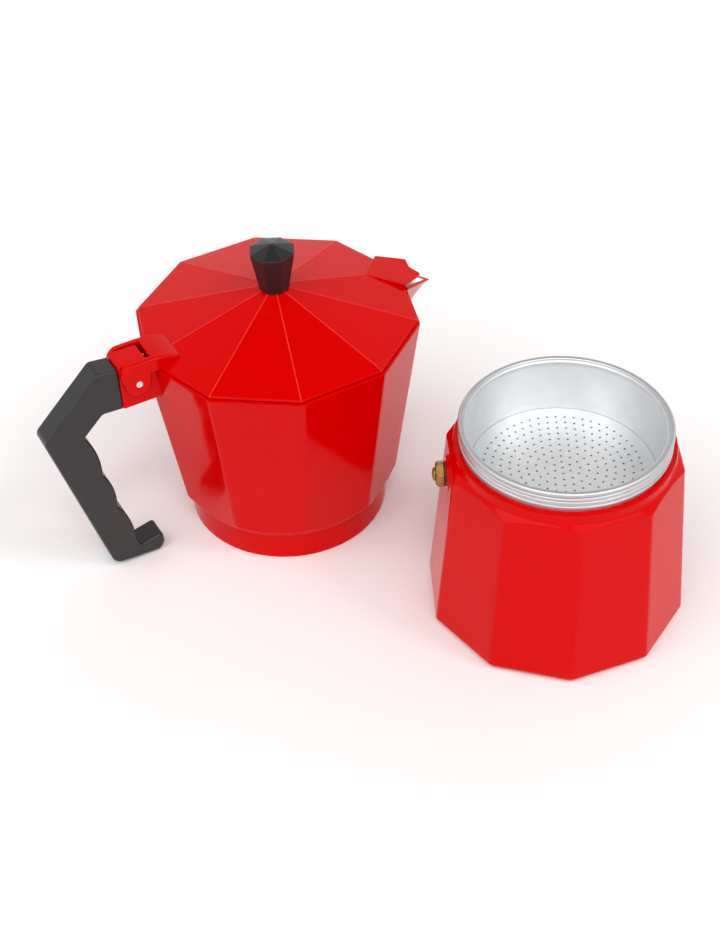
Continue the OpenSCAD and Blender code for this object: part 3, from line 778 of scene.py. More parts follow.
def makeBoiler():
    s = boilerSize
    slope = (s["baseR"] - s["topR"]) / (s["topZ"] - s["baseZ"])
    inner = s["wall"] / math.cos(math.pi / s["sides"])
    coneFoot = s["topZ"] + s["shoulderSlope"] * (s["topR"] - s["collarR"])
    roof = s["seatZ"] - s["wall"] - 1.4

    def wallR(z, inset=0.0):
        return s["baseR"] - inset - slope * (z - s["baseZ"])

    rows = [row(0, 0), row(s["footR"] - 4, 0, 1), row(s["footR"] - 0.9, 0, 1),
            row(s["footR"] - 0.25, 0.25, 1), row(s["footR"], 0.8, 1),
            row(s["baseR"] - 0.5, s["baseZ"] - 0.8, 1), row(s["baseR"] - 0.1, s["baseZ"] - 0.15, 1),
            row(wallR(s["baseZ"] + 0.7), s["baseZ"] + 0.7, 1)]
    rows += [row(wallR(z), z, 1) for z in (8, 20, 35, 50, 62, 70, 76)]
    # facets run out on the cone: a small soft edge on both sides of the line where they meet
    rows += [row(slope * 0.9, -0.9, 1, 1), row(slope * 0.3 - 0.02, -0.3, 1, 1), row(-0.12, -0.02, 1, 1),
             row(-0.42, 0.22, 1, 1), row(-0.9, 0.738, 1, 1)]
    rows += [row(s["collarR"] + 0.5, coneFoot - 0.41), row(s["collarR"] + 0.1, coneFoot + 0.1),
             row(s["collarR"], coneFoot + 0.6), row(s["collarR"], s["seatZ"] - 0.9),
             row(s["collarR"] - 0.25, s["seatZ"] - 0.25), row(s["collarR"] - 0.9, s["seatZ"]),
             row(s["neckR"] + 0.5, s["seatZ"]), row(s["neckR"], s["seatZ"] + 0.1, bare=1),
             row(s["neckR"], s["seatZ"] + 0.5, bare=1), row(s["neckR"], s["neckZ"] - 0.5, bare=1),
             row(s["neckR"] - 0.5, s["neckZ"], bare=1), row(s["boreR"] + 0.3, s["neckZ"], bare=1),
             row(s["boreR"], s["neckZ"] - 0.3, bare=1), row(s["boreR"], roof + 0.3, bare=1),
             row(s["boreR"] + 0.3, roof - 0.1, 0, bare=1)]
    rows += [row(wallR(z, inner), z, 1, bare=1) for z in (76, 50, 20)]
    rows += [row(wallR(s["floor"], inner) - 1.5, s["floor"] + 1.6, 1, bare=1),
             row(wallR(s["floor"], inner) - 5, s["floor"], 1, bare=1), row(0, s["floor"], bare=1)]
    shell = facetLathe("boilerShell", rows, s["sides"], s["turn"], False)
    runTree(shell, facetTree, **{
        "Sides": s["sides"], "Softness": s["softness"] * mm, "First corner": float(s["turn"]),
        "End radius": s["topR"] * mm, "End height": s["topZ"] * mm, "Wall slope": slope,
        "Cone slope": s["shoulderSlope"], "Centre": tuple(boilerAxis), "Metal": redEnamel,
        "Bare metal": neckAluminium})
    cleanShell(shell)
    # raised round boss under the safety valve
    out = s["bossOut"]
    boss = roundShell("boss", [(0, out - 6), (s["bossR"] + 0.5, out - 6), (s["bossR"] + 0.5, out - 0.8),
                               (s["bossR"], out - 0.3), (s["bossR"] - 0.4, out), (4.2, out), (4.2, out - 5),
                               (0, out - 5)], 64)
    moveMesh(boss, alongValve())
    setMaterial(boss, redEnamel)
    boolean(shell, boss, "UNION")
    finishShape(shell)
    return place(shell, "boiler", "red_enamel", "boiler_body")


def alongValve():
    # from a piece turned about Z to one that lies along the safety valve
    s = boilerSize
    return (Matrix.Rotation(math.radians(s["valveTurn"]), 4, "Z")
            @ Matrix.Translation((0, 0, s["valveZ"] * mm))
            @ Matrix.Rotation(math.radians(90), 4, "Y"))


makeBoiler()
print("boiler made")


# upper chamber

chamberSize = {
    "sides": 10, "softness": 1.1,
    "rimR": 66.4, "rimZ": 107.9, "footR": 54.3, "footZ": 21.6,
    "collarR": 48.4, "collarZ": 14.9, "wall": 2.4, "floorZ": 21,
    "recessR": 47.2, "recessZ": 12.2, "filterR": 41.25, "filterZ": 13.05, "domeR": 36.7, "domeZ": 17.5,
    "spigotR": 7.5,
}
beakSize = {
    "half": 13.5, "reach": 82.0, "drop": 9.7, "keelDrop": 36, "pullIn": 10.3, "pullDrop": 13.6,
    "wall": 2.4, "steps": 18,
}
hingeSize = {
    "pinX": -73.1, "pinZ": 105.1, "pinR": 1.6, "lugT": 12.2, "lugTop": 10.2, "lugIn": 5.9, "lugOut": 7.8,
    "bracketH": 23.5, "slotHalf": 6.4, "tabHalf": 9.4, "slotR": 12.1, "slotEnd": 7.6,
    "tabTop": 10.9, "endR": 6.3, "topR": 6.0, "lugRound": 2.4,
    "tongue": 6, "tongueZ": (98.6, 107.6), "tongueReach": 10,
}


def chamberWall(z, inset=0.0):
    s = chamberSize
    return s["rimR"] - inset - (s["rimR"] - s["footR"]) / (s["rimZ"] - s["footZ"]) * (s["rimZ"] - z)


def atChamber(x=0.0, z=0.0):
    return Matrix.Translation(chamberAxis + Vector((x * mm, 0, z * mm)))


def loft(name, sections):
    # closed skin over sections that all have the same number of points, in mm
    n = len(sections[0])
    verts = [Vector(p) * mm for section in sections for p in section]
    faces = [(k * n + i, k * n + (i + 1) % n, (k + 1) * n + (i + 1) % n, (k + 1) * n + i)
             for k in range(len(sections) - 1) for i in range(n)]
    faces += [tuple(range(n)), tuple((len(sections) - 1) * n + i for i in range(n))]
    return newObject(name, meshFrom(name, verts, faces))


def pulled(a, b, c, t):
    return a * (1 - t) ** 2 + b * 2 * t * (1 - t) + c * t * t


def beakSections(hollow):
    # V sections from the wall to the tip: the outside, or the open way cut into it
    b, s = beakSize, chamberSize
    wall = b["wall"] if hollow else 0
    lowZ = s["rimZ"] - b["keelDrop"]
    low = Vector((chamberWall(lowZ) - wall, 0, lowZ + (8 if hollow else 0)))
    tip = Vector((b["reach"], 0, s["rimZ"] - b["drop"])) + (Vector((-3, 0, 0.4)) if hollow else Vector())
    turn = Vector((b["reach"] - b["pullIn"] - wall, 0, s["rimZ"] - b["pullDrop"] + wall))
    start = Vector((s["rimR"] - math.tan(math.pi / 10) * b["half"] - (0.6 if hollow else 0),
                    b["half"] - wall, s["rimZ"]))
    lip = Vector((0, 0.6, 0.6)) if hollow else Vector((0, 0.35, 0.4))
    sections = []
    for i in range(-1, b["steps"] + 1):
        t = max(i, 0) / b["steps"]
        keel = pulled(low, turn, tip, t)
        edge = start + (tip + lip - start) * t
        back = Vector((-10 if hollow else -1.6, 0, 0)) if i < 0 else Vector()
        across = Vector((edge.x, -edge.y, edge.z))
        # a small flat along the keel keeps it from being knife sharp
        left, right = keel.lerp(edge, 0.05), keel.lerp(across, 0.05)
        points = [left, edge, across, right]
        if hollow:
            up = Vector((0, 0, s["rimZ"] + 9 - edge.z))
            points = [left, edge, edge + up, across + up, across, right]
        sections.append([p + back for p in points])
    return sections


def makeChamber():
    s, h = chamberSize, hingeSize
    slope = (s["rimR"] - s["footR"]) / (s["rimZ"] - s["footZ"])
    cone = (s["footZ"] - s["collarZ"]) / (s["footR"] - s["collarR"])
    inner = s["wall"] / math.cos(math.pi / s["sides"])
    rows = [row(s["recessR"] + 0.2, 0), row(s["collarR"] - 0.8, 0), row(s["collarR"] - 0.2, 0.25),
            row(s["collarR"], 0.8), row(s["collarR"], 3), row(s["collarR"], s["collarZ"] - 1),
            row(s["collarR"] + 0.05, s["collarZ"] - 0.2), row(s["collarR"] + 0.4, s["collarZ"] + 0.4 * cone)]
    rows += [row(-0.9, -0.9 * cone, 1, 1), row(-0.45, -0.45 * cone, 1, 1), row(-0.1, 0.05, 1, 1),
             row(0.04, 0.45, 1, 1), row(0.13, 0.9, 1, 1)]
    rows += [row(chamberWall(z), z, 1) for z in (28, 40, 55, 70, 85, 98, s["rimZ"] - 0.9)]
    rows += [row(s["rimR"] - 0.15, s["rimZ"] - 0.2, 1), row(s["rimR"] - 0.7, s["rimZ"], 1),
             row(s["rimR"] - inner + 0.5, s["rimZ"], 1),
             row(s["rimR"] - inner + 0.05, s["rimZ"] - 0.4, 1, bare=1)]
    rows += [row(chamberWall(z, inner), z, 1, bare=1) for z in (98, 60, 30, s["floorZ"] + 3)]
    rows += [row(chamberWall(s["floorZ"], inner) - 0.7, s["floorZ"] + 0.9, 1, bare=1),
             row(chamberWall(s["floorZ"], inner) - 3.5, s["floorZ"], 0.7, bare=1),
             row(s["spigotR"] + 4, s["floorZ"], bare=1), row(s["spigotR"], s["floorZ"], bare=1),
             row(s["spigotR"], s["domeZ"], bare=1), row(s["domeR"] - 2, s["domeZ"], bare=1),
             row(s["domeR"], s["domeZ"] - 2, bare=1), row(s["domeR"], s["filterZ"], bare=1),
             row(s["filterR"], s["filterZ"], bare=1), row(s["filterR"], s["recessZ"], bare=1),
             row(s["recessR"], s["recessZ"], bare=1), row(s["recessR"], 0.6, bare=1)]
    shell = facetLathe("chamberShell", rows, s["sides"], 0, True)
    runTree(shell, facetTree, **{
        "Sides": s["sides"], "Softness": s["softness"] * mm, "First corner": 0.0,
        "End radius": s["footR"] * mm, "End height": s["footZ"] * mm, "Wall slope": -slope,
        "Cone slope": -cone, "Centre": (0, 0, 0), "Metal": redEnamel, "Bare metal": castAluminium})
    cleanShell(shell)

    beak = setMaterial(loft("beak", beakSections(False)), redEnamel)
    boolean(shell, beak, "UNION")
    way = setMaterial(loft("way", beakSections(True)), castAluminium)
    boolean(shell, way, "DIFFERENCE")

    # hinge lug with its bracket, cut back to the wall inside
    outX, top = h["pinX"] - h["lugOut"], h["pinZ"] + h["lugTop"]
    low = top - h["bracketH"]
    inX = -(chamberWall(low) - 3)
    side = roundedOutline([(outX, low, 0.8), (inX, low, 0), (inX, s["rimZ"] - 0.4, 0),
                           (h["pinX"] + h["lugIn"], s["rimZ"] - 0.4, 0), (h["pinX"] + h["lugIn"], top, 1.0),
                           (outX, top, h["lugRound"])])
    bracket = plate("bracket", side, h["lugT"], 0.5)
    boolean(bracket, acrossPin("lugBore", h["pinR"] + 0.05, 8), "DIFFERENCE")
    ends = (outX - h["tongueReach"], outX + 1)
    under, over = h["tongueZ"]
    tongue = plate("tongue", [(ends[0], under), (ends[1], under), (ends[1], over), (ends[0], over)],
                   h["tongue"], 0.4)
    boolean(bracket, tongue, "UNION")
    floorZ, skyZ = s["floorZ"], s["rimZ"] + 1
    inside = roundShell("inside", [(0, floorZ), (chamberWall(floorZ, inner + 0.02), floorZ),
                                   (chamberWall(skyZ, inner + 0.02), skyZ), (0, skyZ)], s["sides"])
    boolean(bracket, inside, "DIFFERENCE")
    setMaterial(bracket, redEnamel)
    boolean(shell, bracket, "UNION")
    finishShape(shell)
    moveMesh(shell, atChamber())
    return place(shell, "chamber", "red_enamel", "chamber_body")


def acrossPin(name, r, half):
    # a bar along the hinge pin's axis, before it is carried to the chamber
    h = hingeSize
    bar = roundShell(name, [(0, -half), (r, -half), (r, half), (0, half)], 32)
    turn = Matrix.Translation((h["pinX"] * mm, 0, h["pinZ"] * mm)) @ Matrix.Rotation(math.radians(90), 4, "X")
    return moveMesh(bar, turn)


makeChamber()
print("chamber made")


# lid with its hinge tab and hood

lidSize = {
    "sides": 10, "softness": 0.7, "cornerR": 65.0, "edgeZ": 108.2, "wall": 1.5, "rise": 15.0, "seatR": 7.5,
    "crown": 2.6, "tabRoot": 20.5, "tabBack": 1.9, "tabCurve": (6.5, 14.5), "tabRim": 1.3,
}
hoodSize = {
    "inner": 18.8, "half": 14, "outer": 8.4, "horn": 7, "notch": 2.1, "thick": 2.4, "lean": 10.8,
    "edge": 1.5, "foot": 1.5, "lip": 1.5,
}


def makeLid():
    s, h, hood = lidSize, hingeSize, hoodSize
    topZ = s["edgeZ"] + s["wall"]
    knobZ = topZ + s["rise"]
    lean = s["rise"] / (s["cornerR"] - s["seatR"])
    underR = s["cornerR"] - s["wall"] / math.cos(math.pi / s["sides"])
    underZ = knobZ - s["crown"]

    def coneZ(r):
        return topZ + (s["cornerR"] - r) * lean

    rows = [row(0, underZ, bare=1), row(underR - (underZ - s["edgeZ"]) / lean, underZ, 1, bare=1),
            row(underR, s["edgeZ"] + 0.02, 1, bare=1), row(underR + 0.1, s["edgeZ"], 1),
            row(s["cornerR"] - 0.3, s["edgeZ"], 1), row(s["cornerR"], s["edgeZ"] + 0.3, 1),
            row(s["cornerR"], topZ - 0.45, 1), row(s["cornerR"] - 0.18, topZ - 0.1, 1),
            row(s["cornerR"] - 0.65, coneZ(s["cornerR"] - 0.65), 1)]
    rows += [row(r, coneZ(r), 1) for r in (61, 50, 38, 26, 16)]
    rows += [row(s["seatR"] + 0.4, coneZ(s["seatR"] + 0.4), 1), row(s["seatR"] - 0.2, knobZ - 0.04, 1),
             row(s["seatR"] - 1, knobZ, 1), row(0, knobZ)]
    shell = facetLathe("lidShell", rows, s["sides"], 0, False)
    runTree(shell, facetTree, **{
        "Sides": s["sides"], "Softness": s["softness"] * mm, "First corner": 0.0,
        "End radius": s["cornerR"] * mm, "End height": topZ * mm, "Wall slope": 0.0, "Cone slope": 0.0,
        "Centre": (0, 0, 0), "Metal": lidEnamel, "Bare metal": castAluminium})
    cleanShell(shell)

    # flat hood over the spout, with two horns, on a foot that is drawn in from its edge
    edgeR = s["cornerR"] - math.tan(math.pi / 10) * hood["half"]
    layers = (("hood", 0, hood["edge"], 0), ("hoodFoot", hood["lip"], hood["foot"], 0.9))
    for name, trim, thick, down in layers:
        out = s["cornerR"] + hood["outer"] - edgeR - trim
        horn, half = hood["horn"] - trim, hood["half"] - trim
        plan = roundedOutline([(s["cornerR"] - hood["inner"] - edgeR + trim, 0, 1.1), (0, -half, 0.8),
                               (out, -horn, 1.4), (out - hood["notch"], 0, 1.5), (out, horn, 1.4),
                               (0, half, 0.8)])
        flat = plate(name, plan, thick, 0.35)
        moveMesh(flat, Matrix.Translation((edgeR * mm, 0, (topZ + hood["thick"] - 0.2) * mm))
                 @ Matrix.Rotation(math.radians(hood["lean"]), 4, "Y")
                 @ Matrix.Translation((0, 0, (-thick / 2 - down) * mm))
                 @ Matrix.Rotation(math.radians(-90), 4, "X"))
        boolean(shell, setMaterial(flat, redEnamel), "UNION")

    # hinge tab: round about the pin, rounded over at the top, and sunk into the lid's ridge at its root
    pinZ = h["pinZ"]
    onLid = coneZ(-h["pinX"] - s["tabRoot"]) - pinZ
    side = arc((0, 0), h["endR"], 0, -180, 24)
    side += arc((-s["tabBack"], h["tabTop"] - h["topR"]), h["topR"], 180, 90, 12)
    flatEnd, bend = s["tabCurve"]
    side += [(pulled(flatEnd, bend, s["tabRoot"], t / 10), pulled(h["tabTop"], h["tabTop"], onLid, t / 10))
             for t in range(11)]
    side += [(s["tabRoot"], s["edgeZ"] - pinZ + 0.1), (h["endR"], s["edgeZ"] - pinZ + 0.1)]
    tab = plate("tab", side, 2 * h["tabHalf"], s["tabRim"], 5)
    moveMesh(tab, Matrix.Translation((h["pinX"] * mm, 0, pinZ * mm)))
    boolean(shell, setMaterial(tab, redEnamel), "UNION")

    # slot that clears the lug as the lid swings
    corner = math.degrees(math.acos(h["slotEnd"] / h["slotR"]))
    reach = h["slotR"] + 4
    gap = [(-reach, -h["slotR"]), (h["slotEnd"], -h["slotR"])] + arc((0, 0), h["slotR"], -corner, corner, 16)
    gap += [(h["slotEnd"], reach), (-reach, reach)]
    slot = plate("slot", gap, 2 * h["slotHalf"], 0.01, 1)
    moveMesh(slot, Matrix.Translation((h["pinX"] * mm, 0, pinZ * mm)))
    boolean(shell, setMaterial(slot, redEnamel), "DIFFERENCE")
    boolean(shell, setMaterial(acrossPin("tabBore", h["pinR"], 12), castAluminium), "DIFFERENCE")
    finishShape(shell, 24)
    moveMesh(shell, atChamber())
    return place(shell, "lid", "red_enamel", "lid")


makeLid()
print("lid made")

pinSize = {"headOut": 0.5, "dimpleR": 0.75, "dimpleDeep": 0.35}


def makeHingePin():
    # riveted pin: a rounded head at each end, with the punch's dimple in it
    h, p = hingeSize, pinSize
    half = h["tabHalf"] + p["headOut"]
    end = [(0, half - p["dimpleDeep"]), (p["dimpleR"] * 0.5, half - p["dimpleDeep"] * 0.75),
           (p["dimpleR"], half - 0.05), (p["dimpleR"] + 0.25, half), (h["pinR"] - 0.3, half - 0.04),
           (h["pinR"] - 0.04, half - 0.25), (h["pinR"] - 0.01, half - 0.5)]
    rows = [(r, -z) for r, z in end] + end[::-1]
    pin = roundShell("hingePin", rows, 40)
    moveMesh(pin, atChamber(h["pinX"], h["pinZ"]) @ Matrix.Rotation(math.radians(90), 4, "X"))
    setMaterial(pin, castAluminium)
    finishShape(pin, 50)
    return place(pin, "lid", "bare_aluminium", "hinge_pin")


makeHingePin()
print("hinge pin made")


# knob

knobSize = {
    "sides": 8, "turn": 41, "softness": 0.5, "footR": 6.9, "topR": 10.8, "footZ": 124.7, "height": 20.0,
    "crown": 3.2,
}


def makeKnob():
    s = knobSize
    topZ = s["footZ"] + s["height"]
    grow = (s["topR"] - s["footR"]) / s["height"]
    rows = [row(0, s["footZ"]), row(s["footR"] - 0.5, s["footZ"], 1),
            row(s["footR"] + 0.05, s["footZ"] + 0.4, 1)]
    rows += [row(s["footR"] + grow * z, s["footZ"] + z, 1) for z in (3, 7, 11, 15, s["height"] - 0.7)]
    rows += [row(s["topR"] - 0.1, topZ - 0.18, 1), row(s["topR"] - 0.55, topZ + 0.14, 1),
             row(s["topR"] * 0.6, topZ + s["crown"] * 0.42, 1), row(1.6, topZ + s["crown"] * 0.88, 1),
             row(0.6, topZ + s["crown"] * 0.96, 0.5), row(0, topZ + s["crown"] * 0.98)]
    shell = facetLathe("knobShell", rows, s["sides"], s["turn"], False)
    runTree(shell, facetTree, **{
        "Sides": s["sides"], "Softness": s["softness"] * mm, "First corner": float(s["turn"]),
        "End radius": s["topR"] * mm, "End height": topZ * mm, "Wall slope": 0.0, "Cone slope": 0.0,
        "Centre": tuple(chamberAxis), "Metal": blackBakelite, "Bare metal": blackBakelite})
    cleanShell(shell)
    finishShape(shell, 24)
    return place(shell, "lid", "black_bakelite", "lid_knob")


makeKnob()
print("knob made")


# handle

handleSize = {
    "thick": 12.2, "rim": 1.0, "inner": 80.95, "rootZ": 92.2, "topZ": 113.7, "outer": 119.4, "kneeZ": 87.2,
    "clear": 1.0, "bow": 1.8,
    "top": (9.6, 1.2, 3), "heel": (22.4, 1.6, 5), "throat": (28.5, 0.6, 3),  # offsets and corner radii
    "hook": ((73.1, 0, 3), (70.9, 4.5, 1.6), (71.5, 9.6, 1.6), (83.0, 7, 1.6)),  # heights above "clear"
    "rests": ((84.8, 14.0), (91.2, 37.49), (95.5, 58.97), (100.8, 83.5)),
    "screwX": 86.1, "screwR": 1.7, "headR": 3.3, "headDeep": 3.3,
}


def makeHandle():
    s = handleSize
    top, heel, throat = s["top"], s["heel"], s["throat"]
    rows = [(s["inner"], s["rootZ"], 0), (s["inner"], s["topZ"], 1.4),
            (s["inner"] + top[0], s["topZ"] + top[1], top[2]), (s["outer"], s["kneeZ"], 4),
            (s["outer"] - heel[0], s["clear"] + heel[1], heel[2])]
    rows += [(x, s["clear"] + z, r) for x, z, r in s["hook"]]
    for p, q in zip(s["rests"], s["rests"][1:]):
        # each finger rest is a shallow bow into the grip
        last = q == s["rests"][-1]
        p, q = Vector(p), Vector(q)
        side = Vector((p.y - q.y, q.x - p.x)).normalized()
        for i in range(13 if last else 12):
            t = i / 12
            spot = p.lerp(q, t) + side * s["bow"] * 4 * t * (1 - t)
            rows.append((spot.x, spot.y, 0))
    rows.append((s["outer"] - throat[0], s["rootZ"] + throat[1], throat[2]))
    outline = [(-x, z) for x, z in roundedOutline(rows)]
    grip = plate("handleGrip", outline, s["thick"], s["rim"], 4)
    well = roundShell("well", [(0, 80), (s["headR"], 80), (s["headR"], s["rootZ"] + s["headDeep"]),
                               (s["screwR"], s["rootZ"] + s["headDeep"]), (s["screwR"], 103), (0, 103)], 32)
    moveMesh(well, Matrix.Translation((-s["screwX"] * mm, 0, 0)))
    boolean(grip, well, "DIFFERENCE")
    setMaterial(grip, blackBakelite)
    finishShape(grip, 40)
    moveMesh(grip, atChamber())
    return place(grip, "chamber", "black_bakelite", "handle")


makeHandle()
print("handle made")


# coilRidge: a wire or a thread wound about an axis

def makeCoilTree():
    inputs = [("Turns", "Float", 2.0), ("Radius", "Float", 0.01), ("Height", "Float", 0.005),
              ("Wire", "Float", 0.0003), ("Metal", "Material", None)]
    tree, entry, leave = newTree("coilRidge", inputs)
    spiral = tree.nodes.new("GeometryNodeCurveSpiral")
    spiral.inputs["Resolution"].default_value = 48
    for name, label in (("Rotations", "Turns"), ("Start Radius", "Radius"), ("End Radius", "Radius"),
                        ("Height", "Height")):
        link(tree, entry.outputs[label], spiral.inputs[name])
    ring = tree.nodes.new("GeometryNodeCurvePrimitiveCircle")
    ring.inputs["Resolution"].default_value = 10
    link(tree, entry.outputs["Wire"], ring.inputs["Radius"])
    sweep = tree.nodes.new("GeometryNodeCurveToMesh")
    sweep.inputs["Fill Caps"].default_value = True
    link(tree, spiral.outputs[0], sweep.inputs["Curve"])
    link(tree, ring.outputs[0], sweep.inputs["Profile Curve"])
    smooth = tree.nodes.new("GeometryNodeSetShadeSmooth")
    link(tree, sweep.outputs[0], smooth.inputs[0])
    return endTree(tree, smooth.outputs[0], entry, leave)


coilTree = makeCoilTree()


def makeCoil(name, turns, r, low, high, wire, material):
    coil = newObject(name, bpy.data.meshes.new(name))
    runTree(coil, coilTree, **{"Turns": float(turns), "Radius": r * mm, "Height": (high - low) * mm,
                               "Wire": wire * mm, "Metal": material})
    return moveMesh(coil, Matrix.Translation((0, 0, low * mm)))


threadSize = {"turns": 1.5, "lowZ": 93.9, "highZ": 97.6, "wire": 0.6, "sunk": 0.05}
neckThread = makeCoil("neckThread", threadSize["turns"], boilerSize["neckR"] - threadSize["sunk"],
                      threadSize["lowZ"], threadSize["highZ"], threadSize["wire"], neckAluminium)
place(neckThread, "boiler", "bare_aluminium")


# safety valve

valveSize = {
    "flats": 10.5, "hexIn": 51.77, "hexOut": 55.77, "inEnd": 43.87, "shankR": 4.15, "boreR": 2.5,
    "stemR": 1.04, "lip": 1.5, "sealIn": 51.27, "sealR": 5.65, "poppetIn": 44.92, "poppetR": 2.42,
    "buttonR": 2.95, "wire": 0.3, "turns": 5, "travel": 1.5,
}


def makeValve():
    s = valveSize
    cornerR = s["flats"] / 2 / math.cos(math.radians(30))
    hole = s["stemR"] + 0.08
    rows = [row(hole, s["hexOut"] - 0.2), row(hole + 0.25, s["hexOut"]), row(4.3, s["hexOut"]),
            row(5.0, s["hexOut"] - 0.1), row(cornerR - 0.35, s["hexOut"] - 0.5, 1),
            row(cornerR, s["hexOut"] - 0.95, 1), row(cornerR, s["hexIn"] + 0.8, 1),
            row(cornerR - 0.3, s["hexIn"] + 0.4, 1), row(5.0, s["hexIn"] + 0.05),
            row(s["shankR"], s["hexIn"]), row(s["shankR"], s["inEnd"] + 0.4),
            row(s["shankR"] - 0.4, s["inEnd"]), row(s["boreR"], s["inEnd"]),
            row(s["boreR"], s["hexOut"] - s["lip"]), row(hole, s["hexOut"] - s["lip"])]
    body = facetLathe("valveHexagon", rows, 6, 0, True)
    runTree(body, facetTree, **{
        "Sides": 6, "Softness": 0.25 * mm, "First corner": 0.0, "End radius": cornerR * mm,
        "End height": s["hexOut"] * mm, "Wall slope": 0.0, "Cone slope": 0.0, "Centre": (0, 0, 0),
        "Metal": agedBrass, "Bare metal": agedBrass})
    cleanShell(body)
    moveMesh(body, alongValve())
    finishShape(body)
    place(body, "boiler", "valve_brass", "valve_body")

    p = s["poppetIn"]
    out = s["hexOut"] + 0.05
    rows = [(0, p), (s["poppetR"] - 0.3, p), (s["poppetR"], p + 0.3), (s["poppetR"], p + 1),
            (s["stemR"], p + 1), (s["stemR"], out), (s["buttonR"] - 0.25, out),
            (s["buttonR"], out + 0.25), (s["buttonR"], out + 0.6)]
    rows += [(s["buttonR"] * math.cos(a), out + 0.6 + 0.9 * math.sin(a))
             for a in (math.radians(15 * k) for k in range(1, 6))] + [(0, out + 1.5)]
    plunger = roundShell("valvePlunger", rows, 48)
    moveMesh(plunger, alongValve())
    setMaterial(plunger, agedBrass)
    finishShape(plunger, 40)
    place(plunger, "valve_stem", "valve_brass", "valve_plunger")

    low, high = p + 1.05 + s["wire"], s["hexOut"] - s["lip"] - 0.05 - s["wire"]
    coilR = s["boreR"] - s["wire"] - 0.15
    spring = makeCoil("valveSpring", s["turns"], coilR, low, high, s["wire"], screwSteel)
    moveMesh(spring, alongValve())
    place(spring, "boiler", "steel", "valve_spring")
    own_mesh(spring)

    washer = [(s["shankR"] + 0.1, s["sealIn"] + 0.05), (s["sealR"] - 0.15, s["sealIn"] + 0.02),
              (s["sealR"], s["sealIn"] + 0.15), (s["sealR"], s["hexIn"] - 0.15),
              (s["sealR"] - 0.15, s["hexIn"] - 0.02), (s["shankR"] + 0.1, s["hexIn"] - 0.05)]
    seal = roundShell("valveSeal", washer, 48, True)
    moveMesh(seal, alongValve())
    setMaterial(seal, redFibre)
    finishShape(seal, 50)
    place(seal, "boiler", "red_fibre", "valve_seal")


makeValve()
print("safety valve made")


# funnel

funnelSize = {
    "rimZ": 102.4, "rimR": 46.4, "neckZ": 98.4, "cupR": 43.4, "innerR": 42.6, "sieveZ": 75.9,
    "sieveR": 41.0, "sieveT": 0.8, "stemR": 6.0, "stemWall": 1.1, "stemTop": 68.9, "stemEnd": 8.5,
}
plateSize = {"rings": 9, "pitch": 3.86, "holeR": 0.5}


def makeFunnel():
    s = funnelSize
    z = s["rimZ"]
    # rolled rim over a pressed groove, a second bead on the neck, then the cup and its cone
    bead = s["rimR"] - 1.2
    rows = arc((bead - 0.4, z - 1.0), 1.0, 175, 90, 6) + arc((bead, z - 1.2), 1.2, 84, -50, 9)
    rows += [(bead - 0.1, z - 2.35)] + arc((bead + 0.3, s["neckZ"] + 0.72), 0.78, 72, -76, 9)
    rows += [(bead, s["neckZ"] + 0.02), (s["cupR"], s["neckZ"] + 0.02), (s["cupR"], s["neckZ"] - 1)]
    rows += [(s["sieveR"] + 0.9, s["sieveZ"] - 0.2), (s["sieveR"] + 0.3, s["sieveZ"] - 1.6)]
    rows += [(s["stemR"] + 1.6, s["stemTop"] - 0.4), (s["stemR"] + 0.5, s["stemTop"] - 1.6),
             (s["stemR"] + 0.5, s["stemTop"] - 6), (s["stemR"] + 0.05, s["stemTop"] - 6),
             (s["stemR"] + 0.05, s["stemTop"] - 0.3), (s["stemR"] + 1.8, s["stemTop"] + 0.4),
             (s["sieveR"] - 1.4, s["sieveZ"] - 1), (s["sieveR"] + 0.05, s["sieveZ"] - 1)]
    rows += [(s["sieveR"] + 0.1, s["sieveZ"] + 0.6), (s["innerR"] - 0.25, s["neckZ"] - 3),
             (s["innerR"], s["neckZ"]), (s["innerR"] + 0.05, z - 2.2), (s["innerR"] + 0.3, z - 1.7),
             (s["innerR"] + 0.8, z - 1.5)]
    cup = roundShell("funnelCup", rows, 128, True)
    setMaterial(cup, cupAluminium, neckAluminium)
    for face in cup.data.polygons:
        # the rolled rim outside takes the darker neck aluminium
        high = face.center.z > (s["neckZ"] + 0.01) * mm
        outside = face.center.xy.length > (s["innerR"] + 1) * mm
        face.material_index = int(high and outside)
    finishShape(cup, 40)
    place(cup, "funnel", "bare_aluminium", "funnel_cup")

    r, w, top, end = s["stemR"], s["stemWall"], s["stemTop"], s["stemEnd"]
    tube = [(r - w, top), (r - 0.15, top), (r, top - 0.15), (r, end + 0.3), (r - 0.25, end),
            (r - w + 0.2, end), (r - w, end + 0.2)]
    stem = roundShell("funnelStem", tube, 64, True)
    setMaterial(stem, cupAluminium)
    finishShape(stem, 40)
    place(stem, "funnel", "bare_aluminium", "funnel_stem")


